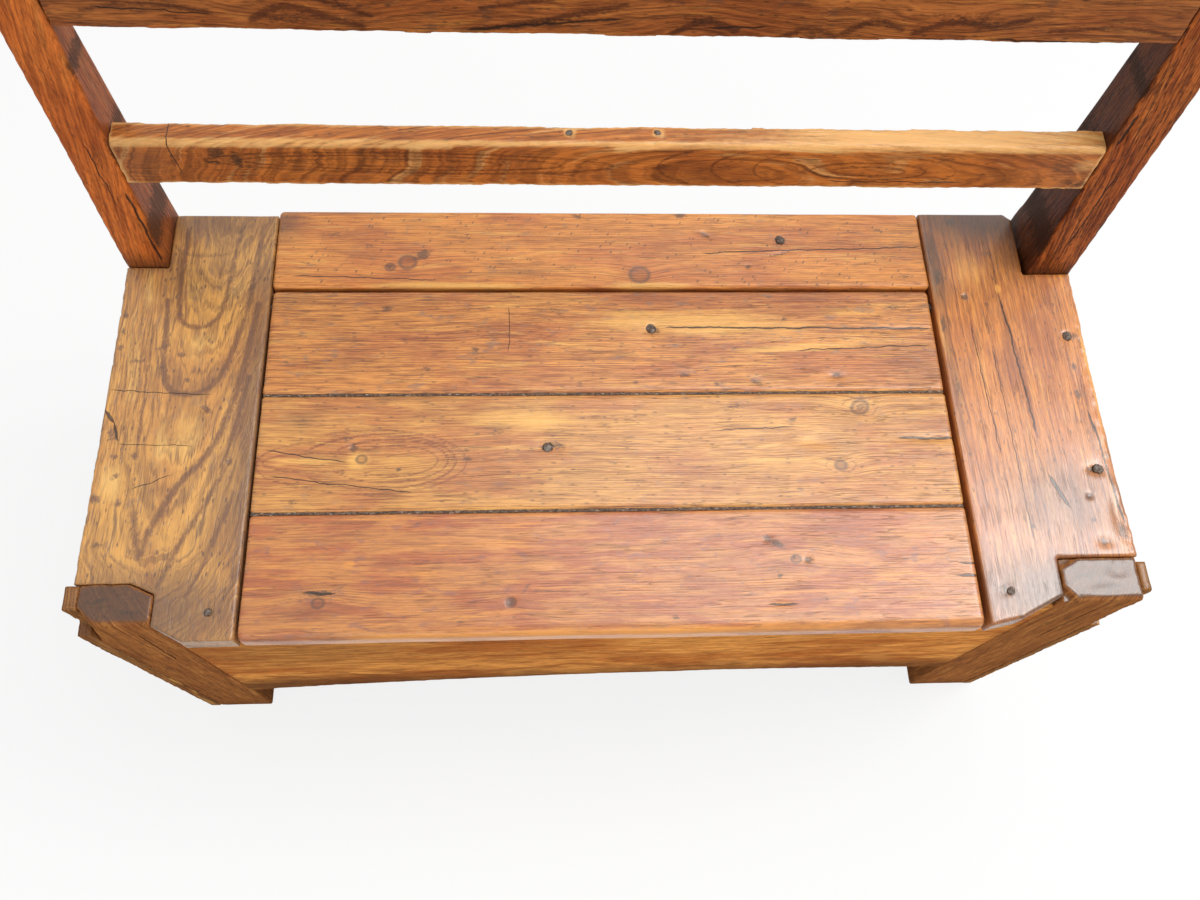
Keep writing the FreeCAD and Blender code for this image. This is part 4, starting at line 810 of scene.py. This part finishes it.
def front_board():
    def low_band(places, _):
        near = np.exp(-((places[:, 2] - 130) / 60) ** 2) * 0.85
        left_end = np.exp(-((places[:, 0] + 430) / 14) ** 2) * 0.4
        ends = left_end + np.exp(-((places[:, 0] - 422) / 14) ** 2) * 0.5
        under = np.exp(-((places[:, 2] - 429) / 10) ** 2) * 0.4
        return {"shade": np.maximum.reduce([near, ends, under])}

    piece = worn_board(
        "front_board", plane="xz", voxel=2.4, wear=0.4, nick=0.4, edge_rub_and_highlight=0.2,
        stains=[(90, 400, 6, 5, 0, 0.9), (165, 330, 12, 4, 0, 0.7), (-150, 425, 60, 5, 0, 0.6)],
        shades=[(-330, 320, 220, 110, 0, 0.5), (-60, 240, 160, 50, 0, 0.2)],
        rubs_and_highlights=[(130, 320, 260, 40, 0, 0.5), (320, 190, 50, 26, -30, 0.7)],
        more=low_band)
    dress(piece, waxed_wood(
        "front_board_wax", "x", "z", (150, 130), 5.5, (0.96, 0.41, 0.10), (0.62, 0.2, 0.045),
        (0.24, 0.072, 0.024), warp=9.0, warp_long=260.0, warp_wide=50.0, rings=0.7, threads=0.6,
        blots_and_sheen=0.5, blot_and_sheen=(0.3, 0.12, 0.045), flecks=0.35, drift=0.9, drift_size=(190.0, 70.0), shine=0.0,
        polish=0.0, gloss=0.4, plane="xz", grime_and_shade=(0.09, 0.04, 0.022), rubbed_and_highlight=(0.68, 0.32, 0.09)))


def dry_wood(name, along, across):
    """The unpolished boards inside and behind."""
    return waxed_wood(
        name, along, across, (60, 330), 4.0, (0.40, 0.23, 0.11), (0.30, 0.16, 0.075), (0.13, 0.07, 0.036),
        warp=7.0, rings=0.6, threads=0.6, blots_and_sheen=0.4, flecks=0.4, gloss=0.62, shine=0.25, relief=1.4,
        grime_and_shade=(0.07, 0.045, 0.03), blot_and_sheen=(0.16, 0.10, 0.06), rubbed_and_highlight=(0.46, 0.29, 0.15))


def box_boards():
    piece = worn_board("back_board", plane="xz", voxel=3.0)
    dress(piece, dry_wood("back_board_wood", "x", "z"))
    for side in ("left", "right"):
        piece = worn_board(side + "_side_board", plane="yz", voxel=3.0)
        dress(piece, dry_wood(side + "_side_wood", "y", "z"))
    lengthwise, crosswise = dry_wood("inner_wood_long", "x", "y"), dry_wood("inner_wood_cross", "y", "x")
    for name, obj in frame["nodes"].items():
        if SLOT_OF[name] == "box_wood" and not obj.hide_render:
            dress(obj, lengthwise if name.endswith("floor_board") else crosswise)


# Iron and wax

def worn_iron(name, tint):
    f = Finish(name, Metallic=0.35, Specular_IOR_Level=0.4)
    x, y, z = f.place()
    rust = f.noise(f.point(x / 3.0, y / 3.0, z / 3.0), 3.0)
    pit = f.noise(f.point(x / 1.1, y / 1.1, z / 1.1), 2.0)
    paint = f.blend(rust.step(0.42, 0.62), tint, (0.10, 0.06, 0.04))
    return f.coat(f.tone(paint, pit.step(0.3, 0.7) * 0.7 + 0.5), 0.42 + rust * 0.25, pit * 0.4 + rust * 0.4)


def loose_solids(node):
    """The corners of each separate solid of a node, in millimetres."""
    piece = merged_copy(node, node + "_corners")
    bm = bmesh.new()
    bm.from_mesh(piece.data)
    left = set(bm.verts)
    solids = []
    while left:
        found, edge = set(), [left.pop()]
        while edge:
            vertex = edge.pop()
            found.add(vertex)
            edge += [other for e in vertex.link_edges for other in e.verts if other in left]
            left.difference_update(edge)
        solids.append(np.array([vertex.co[:] for vertex in found]) / MM)
    bm.free()
    bpy.data.objects.remove(piece)
    return sorted(solids, key=lambda solid: tuple(solid.mean(axis=0)))


def hammered_nails(node):
    """A wrought nail for each solid of a node: a tapered shank and a head beaten to uneven facets."""
    made = []
    for number, solid in enumerate(loose_solids(node)):
        low, top = solid.min(axis=0), solid.max(axis=0)
        axis = int(np.argmax(top - low))
        ends = [solid[abs(solid[:, axis] - end) < 3] for end in (low[axis], top[axis])]
        spread = [np.ptp(np.delete(end, axis, 1), axis=0).max() for end in ends]
        way = 1.0 if spread[1] > spread[0] else -1.0
        head = ends[1] if way > 0 else ends[0]
        wide = max(spread)
        seat = head.mean(axis=0)
        seat[axis] = (top if way > 0 else low)[axis] - way * 2.2
        out = Vector([way if i == axis else 0.0 for i in range(3)])
        flat = 0.3 if seat[1] < -190 else 1.0
        turn = out.to_track_quat("Z", "Y").to_matrix().to_4x4()
        place = Matrix.Translation(Vector(seat) * MM) @ turn
        long = (top - low)[axis] - 2.2
        bpy.ops.object.select_all(action="DESELECT")
        bpy.ops.mesh.primitive_cone_add(vertices=4, radius1=0.8 * MM, radius2=3.1 * MM, depth=long * MM,
                                        location=(0, 0, -long * MM / 2), rotation=(0, 0, math.pi / 4))
        shank = bpy.context.object
        bpy.ops.object.transform_apply(location=True, rotation=True, scale=True)
        bpy.ops.object.select_all(action="DESELECT")
        radius = wide * (0.3 + 0.2 * flat) * MM
        bpy.ops.mesh.primitive_uv_sphere_add(segments=14, ring_count=10, radius=radius)
        crown = bpy.context.object
        bpy.ops.object.mode_set(mode="EDIT")
        bpy.ops.mesh.select_all(action="SELECT")
        bpy.ops.transform.resize(value=(1.0, 0.86, 0.36 * flat))
        bpy.ops.object.mode_set(mode="OBJECT")
        apply_modifier(crown, "DISPLACE", texture=lumps("hammer", 0.0035, 1), texture_coords="LOCAL",
                       strength=wide * 0.2 * MM, mid_level=0.55)
        spin = Matrix.Rotation(1.9 * number + 0.4, 4, "Z")
        for piece, matrix in ((shank, place), (crown, place @ spin)):
            piece.data.transform(matrix)
            made.append(piece)
    bpy.ops.object.select_all(action="DESELECT")
    for piece in made:
        piece.select_set(True)
    bpy.context.view_layer.objects.active = made[0]
    bpy.ops.object.join()
    whole = bpy.context.object
    whole.name = node + "_hammered"
    return finish_piece(whole, node)


def iron_parts():
    nail_iron = worn_iron("nail_iron", (0.19, 0.155, 0.13))
    pin_iron = worn_iron("pin_iron", (0.20, 0.18, 0.16))
    for node in ("seat_nails", "lid_nails", "mid_rail_nails", "strip_nails"):
        dress(hammered_nails(node), nail_iron)
    for name, obj in frame["nodes"].items():
        if SLOT_OF[name] == "nail_iron" and not obj.hide_render:
            dress(obj, nail_iron)
        elif SLOT_OF[name] == "hinge_iron":
            dress(obj, pin_iron)


def joint_wax():
    """Old wax and dust packed into the two joints between the planks of the lid."""
    f = Finish("packed_wax", Specular_IOR_Level=0.5)
    x, y, z = f.place()
    crumb = f.noise(f.point(x / 2.6, y / 1.6, z / 1.6), 3.0, 0.65)
    glint = f.noise(f.point(x / 5.0, y / 1.2, z / 1.2), 1.0).step(0.62, 0.7)
    paint = f.blend(crumb.step(0.4, 0.65), (0.035, 0.02, 0.013), (0.20, 0.11, 0.06))
    paint = f.blend(glint * 0.5, paint, (0.6, 0.5, 0.4))
    wax = f.coat(paint, 0.6 - glint * 0.35, crumb * 1.2)
    front, middle, rear = (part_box(node) for node in ("lid_front_plank", "lid_middle_plank", "lid_rear_plank"))
    for name, near, far in (("front_joint_wax", front, middle), ("rear_joint_wax", middle, rear)):
        low_x, high_x, top = near[0][0], near[1][0], near[1][2]
        centre = (near[1][1] + far[0][1]) / 2
        bpy.ops.object.select_all(action="DESELECT")
        bpy.ops.mesh.primitive_cube_add(size=1)
        piece = bpy.context.object
        piece.name = name
        piece.data.transform(Matrix.Diagonal((high_x - low_x - 2 * MM, 3.4 * MM, 3.0 * MM, 1)))
        piece.data.transform(Matrix.Translation(((low_x + high_x) / 2, centre, top - 2.7 * MM)))
        apply_modifier(piece, "REMESH", mode="VOXEL", voxel_size=0.8 * MM)
        apply_modifier(piece, "DISPLACE", texture=lumps("crumbs", 0.011, 4), texture_coords="LOCAL",
                       strength=1.5 * MM, mid_level=0.7)
        select_only(piece)
        bpy.ops.object.shade_smooth_by_angle(angle=math.radians(60))
        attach(piece, "lid")
        dress(piece, wax)


# Floor, light and camera

def pale_material(name, shade, shown):
    """Pale to the eye and in reflections, with part of the shadow that falls on it."""
    f = Finish(name, Roughness=0.9, Specular_IOR_Level=0.1)
    f.surface.inputs["Base Color"].default_value = (shade, shade, shade, 1)
    path = f.add("LightPath", output="Is Camera Ray").socket.node.outputs
    seen = Value(f, path["Is Camera Ray"]).most(Value(f, path["Is Glossy Ray"]))
    seen = seen.most(Value(f, path["Is Transmission Ray"]))
    glow = f.add("Emission", (), (1.0, 1.0, 1.0, 1.0), 1.0)
    both = f.add("MixShader", (), seen * shown, Value(f, f.surface.outputs[0]), glow)
    f.links.new(both.socket, f.nodes["Material Output"].inputs["Surface"])
    return f.material


def floor():
    bpy.ops.mesh.primitive_plane_add(size=14, location=(0, 0, 0))
    plane = bpy.context.object
    plane.name = "floor"
    dress(plane, pale_material("pale_floor", 0.86, 0.82))


def soft_light(name, place, target, width, height, power):
    lamp = bpy.data.lights.new(name, "AREA")
    lamp.shape = "RECTANGLE"
    lamp.size, lamp.size_y, lamp.energy = width, height, power
    obj = bpy.data.objects.new(name, lamp)
    bpy.context.scene.collection.objects.link(obj)
    obj.location = place
    obj.rotation_mode = "QUATERNION"
    obj.rotation_quaternion = (Vector(target) - Vector(place)).to_track_quat("-Z", "Y")


def light():
    world = bpy.data.worlds.new("studio")
    bpy.context.scene.world = world
    world.use_nodes = True
    nodes, links = world.node_tree.nodes, world.node_tree.links
    shine = nodes["Background"]
    shine.inputs["Color"].default_value = (1, 1, 1, 1)
    path = nodes.new("ShaderNodeLightPath")
    seen = nodes.new("ShaderNodeMath")
    seen.operation = "MAXIMUM"
    links.new(path.outputs["Is Camera Ray"], seen.inputs[0])
    mirrored = nodes.new("ShaderNodeMath")
    mirrored.operation = "MAXIMUM"
    links.new(path.outputs["Is Glossy Ray"], mirrored.inputs[0])
    links.new(path.outputs["Is Transmission Ray"], mirrored.inputs[1])
    links.new(mirrored.outputs[0], seen.inputs[1])
    strength = nodes.new("ShaderNodeMapRange")
    strength.inputs["To Min"].default_value = 0.4
    strength.inputs["To Max"].default_value = 1.0
    links.new(seen.outputs[0], strength.inputs["Value"])
    links.new(strength.outputs[0], shine.inputs["Strength"])
    soft_light("window", (2.0, 0.35, 3.0), (0.2, -0.1, 0.45), 1.15, 0.95, 45)
    soft_light("ceiling", (0.75, 0.4, 3.1), (0.1, 0.0, 0.45), 2.2, 1.2, 40)
    soft_light("front_fill", (-0.6, -3.2, 2.2), (0, 0, 0.4), 2.4, 1.6, 34)


CAMERA_PLACE = (-0.07554, -0.43189, 1.37354)
LOOKS_DOWN, TURNED, TILTED = 67.171, 8.631, 7.448
PHOTO_WIDTH, FOCAL_PIXELS, SENSOR = 1200, 1017.5, 36.0


def camera():
    """The photograph's viewpoint, worked out from the seams of the seat and the lines of the posts."""
    down, turned, tilted = (math.radians(angle) for angle in (LOOKS_DOWN, TURNED, TILTED))
    ahead = Vector((math.sin(turned) * math.cos(down), math.cos(turned) * math.cos(down), -math.sin(down)))
    level = Vector((math.cos(turned), -math.sin(turned), 0))
    upward = level.cross(ahead)
    right = level * math.cos(tilted) + upward * math.sin(tilted)
    up = upward * math.cos(tilted) - level * math.sin(tilted)
    data = bpy.data.cameras.new("photograph_view")
    data.sensor_width = SENSOR
    data.lens = FOCAL_PIXELS / PHOTO_WIDTH * SENSOR
    view = bpy.data.objects.new("photograph_view", data)
    bpy.context.scene.collection.objects.link(view)
    turn = Matrix((right, up, -ahead)).transposed()
    view.matrix_world = Matrix.Translation(CAMERA_PLACE) @ turn.to_4x4()
    bpy.context.scene.camera = view


camera()
light()
floor()
rear_seat_plank()
lid_rear_plank()
lid_middle_plank()
lid_front_plank()
left_end_board()
right_end_board()
top_rail()
mid_rail()
for side in ("left", "right"):
    back_post(side)
    front_leg(side)
    leg_strip(side)
front_board()
box_boards()
iron_parts()
joint_wax()

bpy.context.scene.view_settings.view_transform = "Standard"
